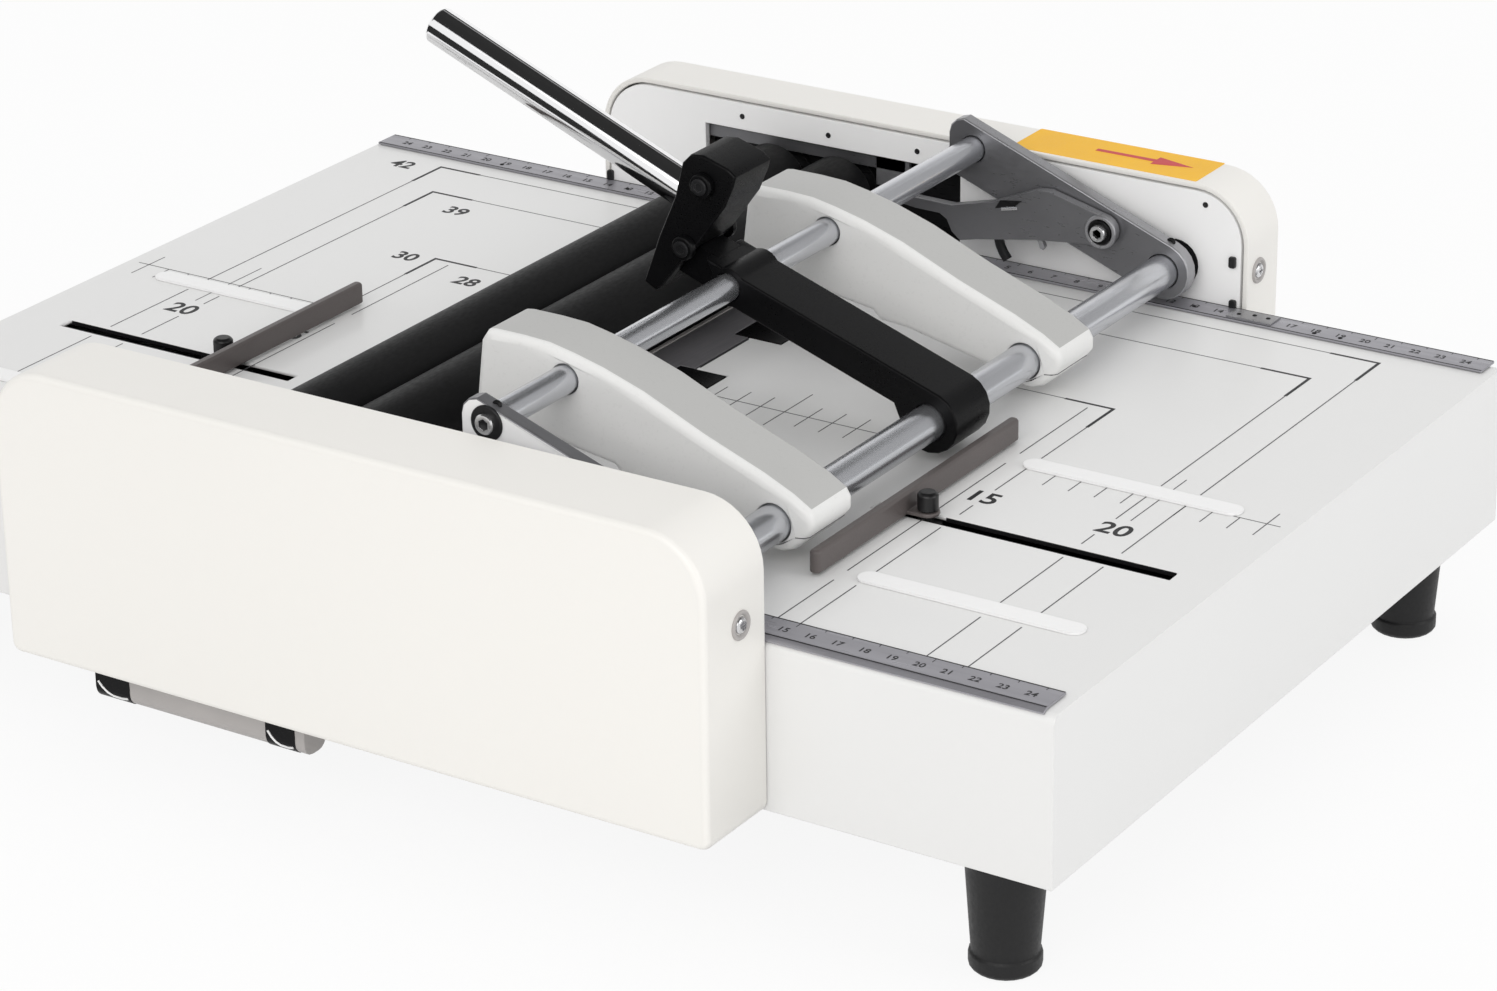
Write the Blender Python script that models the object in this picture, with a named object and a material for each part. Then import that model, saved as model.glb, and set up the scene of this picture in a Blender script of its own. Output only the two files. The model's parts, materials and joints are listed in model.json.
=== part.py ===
"""Desktop booklet maker: two tables, twin fold rollers over a knife, and a press group with two staplers.

Metres, +Z up. The origin is on the floor under the middle. X runs left to right along the paper's travel, and
Y runs from the front cover to the rear cover. The press group is modelled raised, as its spring holds it.
"""

import math

import bmesh
import bpy
from mathutils import Matrix, Vector

# Gaps and cuts
FIT = 0.0003
OVERRUN = 0.003
MERGE = 0.000001

# Tables and floor
TABLE_SPAN = 0.500
TABLE_DEPTH = 0.333
SKIRT_HEIGHT = 0.0605
PLATE = 0.0015
TABLE_EDGE_RADIUS = 0.0035
SHEET_MARGIN = 0.016
FOOT_HEIGHT = 0.0395
FOOT_TOP_RADIUS = 0.0135
FOOT_RADIUS = 0.012
FOOT_RIM = 0.006
FOOT_RIM_STEP = 0.0008
FOOT_ROUND = 0.0015
FOOT_INSET_X = 0.024
FOOT_INSET_FRONT = 0.014
FOOT_INSET_REAR = 0.024

# Covers and frame plates
FRONT_COVER_DEPTH = 0.035
REAR_COVER_DEPTH = 0.027
COVER_LEFT = 0.143
COVER_RIGHT = 0.146
COVER_RISE = 0.047
COVER_WALL = 0.0022
COVER_CORNER_RADIUS = 0.022
COVER_FOOT_RADIUS = 0.004
COVER_EDGE_RADIUS = 0.0025
FRAME_PLATE = 0.003
FRAME_PLATE_GAP = 0.0008
WINDOW_LEFT = 0.094
WINDOW_RIGHT = 0.0225
WINDOW_BOTTOM_RISE = 0.002
WINDOW_TOP_RISE = 0.033
BRACKET_DEPTH = 0.009
BRACKET_SHEET = 0.002
BRACKET_LAP = 0.0025
BRACKET_TOP_SHEET = 0.004

# Rails
RAIL_WIDTH = 0.0112
RAIL_THICKNESS = 0.0009
RAIL_LEFT_INSET = 0.001
RAIL_RIGHT_INSET = 0.004
RAIL_LIP_ANGLE = math.radians(45)

# Fold rollers and their drive
NIP_X = -0.04485
ROLLER_RADIUS = 0.0149
ROLLER_LIFT = 0.0016
ROLLER_END_GAP = 0.003
ROLLER_SHAFT_RADIUS = 0.005
BEARING_WALL = 0.0042
BEARING_WIDTH = 0.005
GEAR_TEETH = 20
DRIVE_GEAR_TEETH = 28
GEAR_WIDTH = 0.006
GEAR_SETBACK = 0.0045
GEAR_ADDENDUM_SHARE = 0.8
GEAR_DEDENDUM_SHARE = 1.1
TOOTH_ROOT_SHARE = 0.27
TOOTH_TIP_SHARE = 0.12
DRIVE_PITCHES_ROUND = 14
DRIVE_SHAFT_RADIUS = 0.003
MOTOR_RADIUS = 0.014
MOTOR_LENGTH = 0.046
MOTOR_TAIL_RADIUS = 0.005
MOTOR_TAIL_LENGTH = 0.004

# Knife
KNIFE_THICKNESS = 0.001
KNIFE_SLOT = 0.003
KNIFE_DROP = 0.003
KNIFE_HEIGHT = 0.028
KNIFE_END_GAP = 0.026
KNIFE_GROOVE = 0.004
CARRIER_HEIGHT = 0.010
CARRIER_LEFT = 0.005
CARRIER_RIGHT = 0.011
CARRIER_END_GAP = 0.036
GUIDE_OFFSET = 0.0065
GUIDE_INSET = 0.010
GUIDE_RADIUS = 0.0025
GUIDE_FLANGE_RADIUS = 0.006
GUIDE_FLANGE = 0.002
GUIDE_TOP_DROP = 0.008
PLUNGER_RADIUS = 0.004
PLUNGER_LENGTH = 0.020
SOLENOID_WIDTH = 0.022
SOLENOID_LENGTH = 0.036
SOLENOID_TOP_DROP = 0.040

# Fences, their slots and the glide ridges
FENCE_LENGTH = 0.133
FENCE_WIDTH = 0.004
FENCE_HEIGHT = 0.008
FENCE_LIFT = 0.0012
FENCE_ROUND = 0.001
FENCE_SETBACK = 0.0058
RIGHT_FENCE_X = 0.133
LEFT_FENCE_X = 0.144
SLOT_WIDTH = 0.006
SLOT_INNER = 0.120
RIGHT_SLOT_OUTER = 0.233
LEFT_SLOT_OUTER = 0.227
RIGHT_SLOT_Y = 0.0937
LEFT_SLOT_Y = 0.083
RIDGE_INNER = 0.146
RIDGE_OUTER = 0.229
RIDGE_WIDTH = 0.008
RIDGE_HEIGHT = 0.0008
RIDGE_ROUND = 0.0006
RIDGE_FRONT_OFFSET = 0.0527
RIDGE_REAR_OFFSET = 0.0565
CLAMP_OFFSET = 0.0055
CLAMP_KNOB_RADIUS = 0.0037
CLAMP_KNOB_HEIGHT = 0.0065
CLAMP_STUD_RADIUS = 0.002
CLAMP_FLANGE_RADIUS = 0.005
CLAMP_FLANGE = 0.0025
LUG_THICKNESS = 0.0015
LUG_RADIUS = 0.0042

# Press group, measured from the axis of the main shaft
SHAFT_X = 0.116
SHAFT_RISE = 0.0142
SHAFT_RADIUS = 0.0065
SHAFT_END = 0.012
BUSHING_WALL = 0.0022
SPRING_WIRE = 0.003
SPRING_LENGTH = 0.008
ROD_LEFT = 0.0815
ROD_RISE = 0.0338
ROD_RADIUS = 0.005
STAPLER_REACH = 0.119
STAPLER_RISE = 0.0451
STAPLER_WIDTH = 0.027
STAPLER_EDGE_RADIUS = 0.003
FRONT_STAPLER_Y = 0.049
REAR_STAPLER_Y = 0.2145
STAPLER_SHARES = (
    (-0.987, 0.319), (-1, 0.446), (-0.978, 0.9), (-0.955, 0.99), (-0.93, 1), (-0.835, 1), (-0.748, 0.989),
    (-0.666, 0.947), (-0.566, 0.882), (-0.433, 0.767), (-0.236, 0.545), (-0.041, 0.353), (0.055, 0.239),
    (0.111, 0.151), (0.126, 0.084), (0.126, -0.004), (0.092, -0.115), (0.06, -0.19), (0.021, -0.226),
    (-0.034, -0.215), (-0.1, -0.13), (-0.215, -0.062), (-0.408, 0.049), (-0.504, 0.069), (-0.531, 0.14),
)
MAGAZINE_WIDTH = 0.014
MAGAZINE_SHARES = ((-0.984, 0.292), (-0.992, 0.48), (-0.56, 0.33), (-0.56, 0.122))
MAGAZINE_SLOT_SHARES = ((-1.06, 0.1), (-1.06, 0.52), (-0.553, 0.343), (-0.553, -0.1))
LINK_LEFT = 0.092
FRONT_LINK_TOP = 0.0417
REAR_LINK_TOP = 0.0453
LINK_BOTTOM = 0.0236
LINK_THICKNESS = 0.006
LINK_EDGE_RADIUS = 0.0005
LINK_BOSS_RADIUS = 0.0112
LINK_CORNER = 0.0065
LINK_ARC_DEGREES = (-113, 69)
FRONT_LINK_Y = 0.0055
REAR_LINK_Y = 0.309
ARM_Y = 0.1468
ARM_WIDTH = 0.0235
ARM_NOSE_RADIUS = 0.0115
ARM_ARC_DEGREES = (-170, 68)
ARM_LEFT = 0.0905
ARM_TOP = 0.0430
ARM_EDGE_RADIUS = 0.0008
ARM_LOWER_SHARES = ((-0.155, 0.1), (-0.916, 0.644))
ROD_BOSS_RADIUS = 0.0072
TONGUE_WIDTH = 0.0145
TONGUE_SHARES = ((-0.93, 0.62), (-1.182, 0.82), (-1.182, 1.135), (-0.97, 0.98))
BRACKET_REACH_SHARE = 1.2928
BRACKET_RISE_SHARE = 1.8767
BRACKET_SHARES = (
    (-0.956, 0.33), (-0.998, 0.364), (-0.94, 0.59), (-0.879, 0.79), (-0.851, 0.949), (-0.82, 0.995),
    (-0.776, 1), (-0.69, 0.96), (-0.662, 0.93), (-0.672, 0.882), (-0.702, 0.783), (-0.8, 0.59), (-0.93, 0.36),
)
BRACKET_SLOT_SHARES = ((-0.6, 0.1), (-0.6, 0.44), (-0.92, 0.627), (-0.92, 0.35), (-1.1, 0.1))
TUBE_RADIUS = 0.007
TUBE_WALL = 0.0012
TUBE_SEAT_SHARES = (-0.7838, 0.6989)
TUBE_ANGLE = math.radians(22.3)
TUBE_LENGTH = 0.1305
TUBE_CAP = 0.003
TUBE_ROUND = 0.001
BOLT_RADIUS = 0.0025
BOLT_HEAD_RADIUS = 0.0045
BOLT_HEAD = 0.0028
BOLT_ROUND = 0.0006
UPPER_BOLT_SHARES = (-0.7735, 0.8699)
LOWER_BOLT_SHARES = (-0.8419, 0.5675)

# Latch lever on the rear link
LATCH_LEFT = 0.0235
LATCH_RISE = 0.0128
LATCH_REACH = 0.0895
LATCH_HEIGHT = 0.012
LATCH_THICKNESS = 0.004
LATCH_GAP = 0.0006
LATCH_BOSS_RADIUS = 0.006
LATCH_ARC_DEGREES = (-110, 70)
LATCH_PIN_RADIUS = 0.0025
LATCH_SHARES = (
    (-0.25, 0.98), (-0.31, 0.95), (-0.52, 0.28), (-0.72, -0.1), (-0.93, -0.08), (-1, -0.14), (-1, -0.36),
    (-0.9, -0.45), (-0.78, -0.46), (-0.745, -0.62), (-0.72, -1), (-0.68, -1.24), (-0.6, -1.1), (-0.33, -0.74),
)

# Anvils and the beam that carries them
ANVIL_REACH = 0.112
ANVIL_WIDTH = 0.020
ANVIL_LENGTH = 0.026
ANVIL_SEAM = 0.004
MIDDLE_ANVIL_Y = 0.152
BEAM_WIDTH = 0.028
BEAM_HEIGHT = 0.020
BEAM_SHEET = 0.0025

# Bar under the front cover
BAR_LEFT = 0.1155
BAR_RIGHT = 0.0245
BAR_SETBACK = 0.012
BAR_THICKNESS = 0.012
BAR_HEIGHT = 0.014
BAR_DROP = 0.002
BAR_CORNER = 0.0045
BAR_POST_WIDTH = 0.010
BAR_POST_INSET = 0.022
BAR_OVAL_LENGTH = 0.0105
BAR_OVAL_HEIGHT = 0.0095
BAR_OVAL_DEPTH = 0.007
BAR_OVAL_INSET = 0.0095

# Power inlet and switch in the rear cover's back
INLET_X = -0.0995
SWITCH_X = -0.066
INLET_DROP = 0.035
INLET_WIDTH = 0.027
INLET_HEIGHT = 0.020
INLET_DEPTH = 0.018
INLET_WALL = 0.0025
INLET_BACK = 0.003
BLADE_WIDTH = 0.002
BLADE_HEIGHT = 0.004
BLADE_LENGTH = 0.012
BLADE_PITCH = 0.007
BLADE_RISE = 0.003
SWITCH_WIDTH = 0.013
SWITCH_HEIGHT = 0.019
ROCKER_HALF = 0.0087
ROCKER_DEPTH = 0.009
ROCKER_STEM = 0.003
ROCKER_RECESS = 0.001
ROCKER_AXIS_DEPTH = 0.004
ROCKER_TILT = math.radians(6)

# Shading and rounding
SHARP_ANGLE = math.radians(35)
UNIT_CUBE = 1
EDGE_STEPS = 2
COVER_CORNER_STEPS = 10
EDGE_PROFILE = 0.5
FINE_SIDES = 40
SIDES = 24
SMALL_SIDES = 16

# Places worked out from the sizes above
TABLE_TOP = FOOT_HEIGHT + SKIRT_HEIGHT
TABLE_FRONT = FRONT_COVER_DEPTH - (FRONT_COVER_DEPTH + TABLE_DEPTH + REAR_COVER_DEPTH) / 2
TABLE_REAR = TABLE_FRONT + TABLE_DEPTH
SHEET_FRONT = TABLE_FRONT + SHEET_MARGIN
ROLLER_PITCH = 2 * ROLLER_RADIUS + FIT
ROLLER_Z = TABLE_TOP + ROLLER_LIFT + ROLLER_RADIUS
ROLLER_XS = {"left": NIP_X - ROLLER_PITCH / 2, "right": NIP_X + ROLLER_PITCH / 2}
SHAFT_Z = TABLE_TOP + SHAFT_RISE
BRACKET_REACH = BRACKET_REACH_SHARE * ARM_LEFT
BRACKET_RISE = BRACKET_RISE_SHARE * ARM_TOP
STAPLE_X = SHAFT_X - ANVIL_REACH
SEAM_X = STAPLE_X - ANVIL_SEAM
PLATE_FRONT_Y = TABLE_FRONT - FIT
PLATE_REAR_Y = TABLE_REAR + FIT
BASE_TOP = FOOT_HEIGHT + PLATE
GEAR_MODULE = ROLLER_PITCH / GEAR_TEETH
DRIVE_DISTANCE = GEAR_MODULE * (GEAR_TEETH + DRIVE_GEAR_TEETH) / 2
DRIVE_DIRECTION = math.tau * DRIVE_PITCHES_ROUND / GEAR_TEETH
DRIVE_X = ROLLER_XS["left"] + DRIVE_DISTANCE * math.cos(DRIVE_DIRECTION)
DRIVE_Z = ROLLER_Z + DRIVE_DISTANCE * math.sin(DRIVE_DIRECTION)
GEAR_BACK_Y = PLATE_FRONT_Y - FRAME_PLATE - GEAR_SETBACK
GEAR_FRONT_Y = GEAR_BACK_Y - GEAR_WIDTH
SHAFT_FRONT_Y = PLATE_FRONT_Y - FRAME_PLATE - SHAFT_END
COVER_BACK_Y = TABLE_REAR + REAR_COVER_DEPTH
PLACE = {
    "X": lambda across, up, along: (along, across, up),
    "Y": lambda across, up, along: (across, along, up),
    "Z": lambda across, up, along: (across, up, along),
}

# Colour, roughness and metallic value of each finish
FINISHES = {
    "cover": ((0.86, 0.84, 0.79), 0.5, 0),
    "table": ((0.82, 0.82, 0.81), 0.4, 0),
    "rail": ((0.50, 0.49, 0.53), 0.4, 0.6),
    "steel": ((0.45, 0.45, 0.46), 0.35, 0.9),
    "dark_steel": ((0.20, 0.20, 0.21), 0.4, 0.8),
    "chrome": ((0.85, 0.85, 0.86), 0.08, 1),
    "black_metal": ((0.03, 0.03, 0.032), 0.35, 0.3),
    "stapler": ((0.62, 0.62, 0.61), 0.45, 0),
    "fence": ((0.30, 0.26, 0.25), 0.5, 0.2),
    "rubber": ((0.025, 0.025, 0.027), 0.7, 0),
    "plastic": ((0.04, 0.04, 0.042), 0.5, 0),
    "brass": ((0.70, 0.52, 0.26), 0.35, 1),
    "grip_bar": ((0.45, 0.45, 0.46), 0.5, 0),
}


def clear_scene():
    for obj in list(bpy.data.objects):
        bpy.data.objects.remove(obj)


def finish_material(name, finish):
    colour, roughness, metallic = FINISHES[finish]
    material = bpy.data.materials.new(name)
    material.use_nodes = True
    shader = material.node_tree.nodes["Principled BSDF"]
    shader.inputs["Base Color"].default_value = (*colour, 1)
    shader.inputs["Roughness"].default_value = roughness
    shader.inputs["Metallic"].default_value = metallic
    return material


def make_object(name, shape, finish, origin=(0, 0, 0)):
    """A named object from a bmesh in world places, with its origin moved to the given point."""
    bmesh.ops.recalc_face_normals(shape, faces=shape.faces)
    mesh = bpy.data.meshes.new(name)
    shape.to_mesh(mesh)
    shape.free()
    mesh.transform(Matrix.Translation(-Vector(origin)))
    mesh.shade_smooth()
    mesh.set_sharp_from_angle(angle=SHARP_ANGLE)
    if finish:
        mesh.materials.append(finish_material(name, finish))
    obj = bpy.data.objects.new(name, mesh)
    obj.location = origin
    bpy.context.scene.collection.objects.link(obj)
    return obj


def arc(centre, radius, start, end, steps):
    """Points of an arc, in degrees, both ends included."""
    turns = [math.radians(start + (end - start) * step / steps) for step in range(steps + 1)]
    return [(centre[0] + radius * math.cos(turn), centre[1] + radius * math.sin(turn)) for turn in turns]


def rounded(low, high, radii, steps=4):
    """A box outline with a radius for each corner: low left, low right, high right and high left."""
    corners = (
        (low[0] + radii[0], low[1] + radii[0], 180),
        (high[0] - radii[1], low[1] + radii[1], 270),
        (high[0] - radii[2], high[1] - radii[2], 0),
        (low[0] + radii[3], high[1] - radii[3], 90),
    )
    points = []
    for radius, (across, up, start) in zip(radii, corners):
        points += arc((across, up), radius, start, start + 90, steps) if radius else [(across, up)]
    return points


def soften(shape, edges, radius):
    """Rounds the given edges of a bmesh."""
    bmesh.ops.bevel(
        shape, geom=edges, offset=radius, segments=EDGE_STEPS, profile=EDGE_PROFILE, affect="EDGES",
        clamp_overlap=True,
    )


def prism(name, outline, axis, start, end, finish=None, edge=0, rims="both", origin=(0, 0, 0)):
    """The outline carried along an axis. An edge radius rounds the rims of the end faces named by rims."""
    shape = bmesh.new()
    face = shape.faces.new([shape.verts.new(PLACE[axis](across, up, start)) for across, up in outline])
    moved = bmesh.ops.extrude_face_region(shape, geom=[face])["geom"]
    shift = Vector(PLACE[axis](0, 0, end)) - Vector(PLACE[axis](0, 0, start))
    far = [item for item in moved if isinstance(item, bmesh.types.BMVert)]
    bmesh.ops.translate(shape, verts=far, vec=shift)
    if edge:
        index = "XYZ".index(axis)
        wanted = {"both": (start, end), "start": (start,), "end": (end,)}[rims]
        edges = [
            item for item in shape.edges
            if any(all(abs(vert.co[index] - plane) < MERGE for vert in item.verts) for plane in wanted)
        ]
        soften(shape, edges, edge)
    return make_object(name, shape, finish, origin)


def block(name, low, high, finish=None, edge=0, origin=(0, 0, 0)):
    """A box between two corners, with all its edges rounded where an edge radius is given."""
    shape = bmesh.new()
    bmesh.ops.create_cube(shape, size=UNIT_CUBE)
    middle = (Vector(low) + Vector(high)) / 2
    size = Vector(high) - Vector(low)
    matrix = Matrix.Translation(middle) @ Matrix.Diagonal(size).to_4x4()
    bmesh.ops.transform(shape, verts=shape.verts, matrix=matrix)
    if edge:
        soften(shape, list(shape.edges), edge)
    return make_object(name, shape, finish, origin)


def turned(name, profile, centre, direction, finish=None, sides=SIDES, closed=False, origin=None):
    """A profile of (radius, distance) pairs spun round a line through the centre."""
    shape = bmesh.new()
    verts = [shape.verts.new((radius, 0, along)) for radius, along in profile]
    edges = [shape.edges.new(pair) for pair in zip(verts, verts[1:])]
    if closed:
        edges.append(shape.edges.new((verts[-1], verts[0])))
    bmesh.ops.spin(
        shape, geom=verts + edges, cent=(0, 0, 0), axis=(0, 0, 1), dvec=(0, 0, 0), angle=math.tau, steps=sides
    )
    bmesh.ops.remove_doubles(shape, verts=shape.verts, dist=MERGE)
    turn = Vector((0, 0, 1)).rotation_difference(Vector(direction)).to_matrix().to_4x4()
    bmesh.ops.transform(shape, verts=shape.verts, matrix=Matrix.Translation(centre) @ turn)
    return make_object(name, shape, finish, centre if origin is None else origin)


def rod(name, across, up, start, end, radius, finish=None, sides=SIDES, origin=None):
    """A round bar along Y."""
    profile = [(0, 0), (radius, 0), (radius, end - start), (0, end - start)]
    return turned(name, profile, (across, start, up), (0, 1, 0), finish, sides, origin=origin)


def ring(name, across, up, start, end, outer, inner, finish=None, sides=SIDES, origin=None):
    """A tube along Y."""
    profile = [(inner, 0), (outer, 0), (outer, end - start), (inner, end - start)]
    return turned(name, profile, (across, start, up), (0, 1, 0), finish, sides, closed=True, origin=origin)


def post(name, x, y, low, high, radius, finish=None, sides=SMALL_SIDES):
    """A round bar along Z."""
    profile = [(0, 0), (radius, 0), (radius, high - low), (0, high - low)]
    return turned(name, profile, (x, y, low), (0, 0, 1), finish, sides)


def combine(obj, operation, tools):
    for tool in tools:
        modifier = obj.modifiers.new(tool.name, "BOOLEAN")
        modifier.operation = operation
        modifier.object = tool
        tool.hide_render = True
        tool.display_type = "WIRE"
    return obj


def cut(obj, *tools):
    return combine(obj, "DIFFERENCE", tools)


def fuse(obj, *tools):
    return combine(obj, "UNION", tools)


def scaled(shares, width, height, centre):
    """Outline points from shares of a width and a height, placed from a centre."""
    return [(centre[0] + across * width, centre[1] + up * height) for across, up in shares]


# Tables, base and feet


def table(side):
    """A folded tray with skirts at the front, rear and outer end, a fence slot and glide ridges."""
    sign = 1 if side == "right" else -1
    inner = SEAM_X + 2 * FIT if sign > 0 else NIP_X - KNIFE_SLOT / 2
    outer = sign * TABLE_SPAN / 2
    low, high = (TABLE_FRONT, FOOT_HEIGHT), (TABLE_REAR, TABLE_TOP)
    radii = (0, 0, TABLE_EDGE_RADIUS, TABLE_EDGE_RADIUS)
    tray = prism(side + "_table", rounded(low, high, radii, 3), "X", inner, outer, "table")
    hollow_radii = (0, 0, TABLE_EDGE_RADIUS - PLATE, TABLE_EDGE_RADIUS - PLATE)
    hollow_low = (TABLE_FRONT + PLATE, FOOT_HEIGHT - OVERRUN)
    hollow_high = (TABLE_REAR - PLATE, TABLE_TOP - PLATE)
    hollow_outline = rounded(hollow_low, hollow_high, hollow_radii, 3)
    hollow = prism(side + "_table_hollow", hollow_outline, "X", inner - sign * OVERRUN, outer - sign * PLATE)
    relief_end = STAPLE_X + BEAM_WIDTH / 2 + PLATE if sign > 0 else DRIVE_X - MOTOR_RADIUS - PLATE
    relief_low = (min(inner - sign * OVERRUN, relief_end), TABLE_FRONT - OVERRUN, FOOT_HEIGHT - OVERRUN)
    relief_high = (max(inner - sign * OVERRUN, relief_end), TABLE_REAR + OVERRUN, TABLE_TOP - PLATE)
    relief = block(side + "_table_relief", relief_low, relief_high)
    slot_y = SHEET_FRONT + (RIGHT_SLOT_Y if sign > 0 else LEFT_SLOT_Y)
    slot_outer = RIGHT_SLOT_OUTER if sign > 0 else LEFT_SLOT_OUTER
    slot_xs = sorted((sign * SLOT_INNER, sign * slot_outer))
    slot_low = (slot_xs[0], slot_y - SLOT_WIDTH / 2, TABLE_TOP - PLATE - OVERRUN)
    slot_high = (slot_xs[1], slot_y + SLOT_WIDTH / 2, TABLE_TOP + OVERRUN)
    cut(tray, hollow, relief, block(side + "_fence_slot", slot_low, slot_high))
    if sign > 0:
        cut(tray, *anvil_notches(side))
    for place, offset in (("front", -RIDGE_FRONT_OFFSET), ("rear", RIDGE_REAR_OFFSET)):
        ridge_xs = sorted((sign * RIDGE_INNER, sign * RIDGE_OUTER))
        radii = [RIDGE_WIDTH / 2 - RIDGE_ROUND] * 4
        ridge_low = (ridge_xs[0], slot_y + offset - RIDGE_WIDTH / 2)
        ridge_high = (ridge_xs[1], slot_y + offset + RIDGE_WIDTH / 2)
        outline = rounded(ridge_low, ridge_high, radii, 3)
        name = f"{side}_{place}_ridge"
        ridge_foot = TABLE_TOP - PLATE / 2
        ridge_top = TABLE_TOP + RIDGE_HEIGHT
        fuse(tray, prism(name, outline, "Z", ridge_foot, ridge_top, edge=RIDGE_ROUND, rims="end"))
    return tray


def anvil_notches(side):
    notches = []
    for place, depth in anvil_places():
        half = ANVIL_LENGTH / 2 + FIT
        low = (STAPLE_X - ANVIL_WIDTH / 2 - FIT, SHEET_FRONT + depth - half, TABLE_TOP - PLATE - OVERRUN)
        high = (STAPLE_X + ANVIL_WIDTH / 2 + FIT, SHEET_FRONT + depth + half, TABLE_TOP + OVERRUN)
        notches.append(block(f"{side}_{place}_anvil_notch", low, high))
    return notches


def anvil_places():
    return (("front", FRONT_STAPLER_Y), ("middle", MIDDLE_ANVIL_Y), ("rear", REAR_STAPLER_Y))


def guide_plate():
    low = (NIP_X + KNIFE_SLOT / 2, TABLE_FRONT + TABLE_EDGE_RADIUS, TABLE_TOP - PLATE)
    high = (SEAM_X, TABLE_REAR - TABLE_EDGE_RADIUS, TABLE_TOP)
    plate = block("guide_plate", low, high, "steel")
    return cut(plate, *anvil_notches("guide"))


def base_plate():
    gap = PLATE + FIT
    low = (gap - TABLE_SPAN / 2, TABLE_FRONT + gap, FOOT_HEIGHT)
    high = (TABLE_SPAN / 2 - gap, TABLE_REAR - gap, BASE_TOP)
    return block("base_plate", low, high, "dark_steel")


def feet():
    top = FOOT_HEIGHT - FIT
    profile = [
        (0, 0), (FOOT_RADIUS - FOOT_ROUND, 0), (FOOT_RADIUS, FOOT_ROUND), (FOOT_RADIUS, FOOT_RIM),
        (FOOT_RADIUS - FOOT_RIM_STEP, FOOT_RIM + FOOT_RIM_STEP), (FOOT_TOP_RADIUS, top), (0, top),
    ]
    for side, x in (("left", FOOT_INSET_X - TABLE_SPAN / 2), ("right", TABLE_SPAN / 2 - FOOT_INSET_X)):
        for place, y in (("front", TABLE_FRONT + FOOT_INSET_FRONT), ("rear", TABLE_REAR - FOOT_INSET_REAR)):
            turned(f"foot_{place}_{side}", profile, (x, y, 0), (0, 0, 1), "rubber")


def rails():
    """Scale strips over the front and rear table edges; the front one curls over the rounded edge."""
    start = RAIL_LEFT_INSET - TABLE_SPAN / 2
    end = TABLE_SPAN / 2 - RAIL_RIGHT_INSET
    lip_centre = (TABLE_FRONT + TABLE_EDGE_RADIUS, TABLE_TOP - TABLE_EDGE_RADIUS)
    inner = TABLE_EDGE_RADIUS + FIT
    outer = inner + RAIL_THICKNESS
    lip_end = 90 + math.degrees(RAIL_LIP_ANGLE)
    back = lip_centre[0] + RAIL_WIDTH
    outline = [(back, lip_centre[1] + inner), (back, lip_centre[1] + outer)]
    outline += arc(lip_centre, outer, 90, lip_end, 3) + arc(lip_centre, inner, lip_end, 90, 3)
    prism("front_rail", outline, "X", start, end, "rail")
    low = (start, TABLE_REAR - RAIL_WIDTH, TABLE_TOP + FIT)
    block("rear_rail", low, (end, TABLE_REAR, TABLE_TOP + FIT + RAIL_THICKNESS), "rail")


# Covers and frame plates


def housing_outline(inset):
    """The covers' outline across the paper's travel, drawn in by an inset."""
    low = (inset - COVER_LEFT, FOOT_HEIGHT + inset)
    high = (COVER_RIGHT - inset, TABLE_TOP + COVER_RISE - inset)
    foot = max(COVER_FOOT_RADIUS - inset, COVER_FOOT_RADIUS / 4)
    top = COVER_CORNER_RADIUS - inset
    return rounded(low, high, (foot, foot, top, top), COVER_CORNER_STEPS)


def cover(place):
    front = place == "front"
    closed = TABLE_FRONT - FRONT_COVER_DEPTH if front else COVER_BACK_Y
    opened = PLATE_FRONT_Y if front else PLATE_REAR_Y
    inward = 1 if front else -1
    outline = housing_outline(0)
    shell = prism(f"{place}_cover", outline, "Y", closed, opened, "cover", COVER_EDGE_RADIUS, "start")
    span = (closed + inward * COVER_WALL, opened + inward * OVERRUN)
    return cut(shell, prism(f"{place}_cover_hollow", housing_outline(COVER_WALL), "Y", *span))


def front_frame_plate():
    back = PLATE_FRONT_Y
    front = back - FRAME_PLATE
    outline = housing_outline(COVER_WALL + FRAME_PLATE_GAP)
    plate = prism("front_frame_plate", outline, "Y", front, back, "steel")
    span = (front - OVERRUN, back + OVERRUN)
    holes = [rod("front_shaft_hole", SHAFT_X, SHAFT_Z, *span, bushing_radius() + FIT)]
    for side, x in ROLLER_XS.items():
        holes.append(rod(f"front_{side}_bearing_hole", x, ROLLER_Z, *span, bearing_radius() + FIT))
    drive_radius = DRIVE_SHAFT_RADIUS + FIT
    holes.append(rod("drive_shaft_hole", DRIVE_X, DRIVE_Z, *span, drive_radius, sides=SMALL_SIDES))
    return cut(plate, *holes)


def rear_frame_plate():
    front = PLATE_REAR_Y
    back = front + FRAME_PLATE
    outline = housing_outline(COVER_WALL + FRAME_PLATE_GAP)
    plate = prism("rear_frame_plate", outline, "Y", front, back, "cover")
    low = (-WINDOW_LEFT, front - OVERRUN, TABLE_TOP + WINDOW_BOTTOM_RISE)
    window = block("window", low, (WINDOW_RIGHT, back + OVERRUN, TABLE_TOP + WINDOW_TOP_RISE))
    hole = rod("rear_shaft_hole", SHAFT_X, SHAFT_Z, front - OVERRUN, back + OVERRUN, bushing_radius() + FIT)
    return cut(plate, window, hole)


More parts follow.
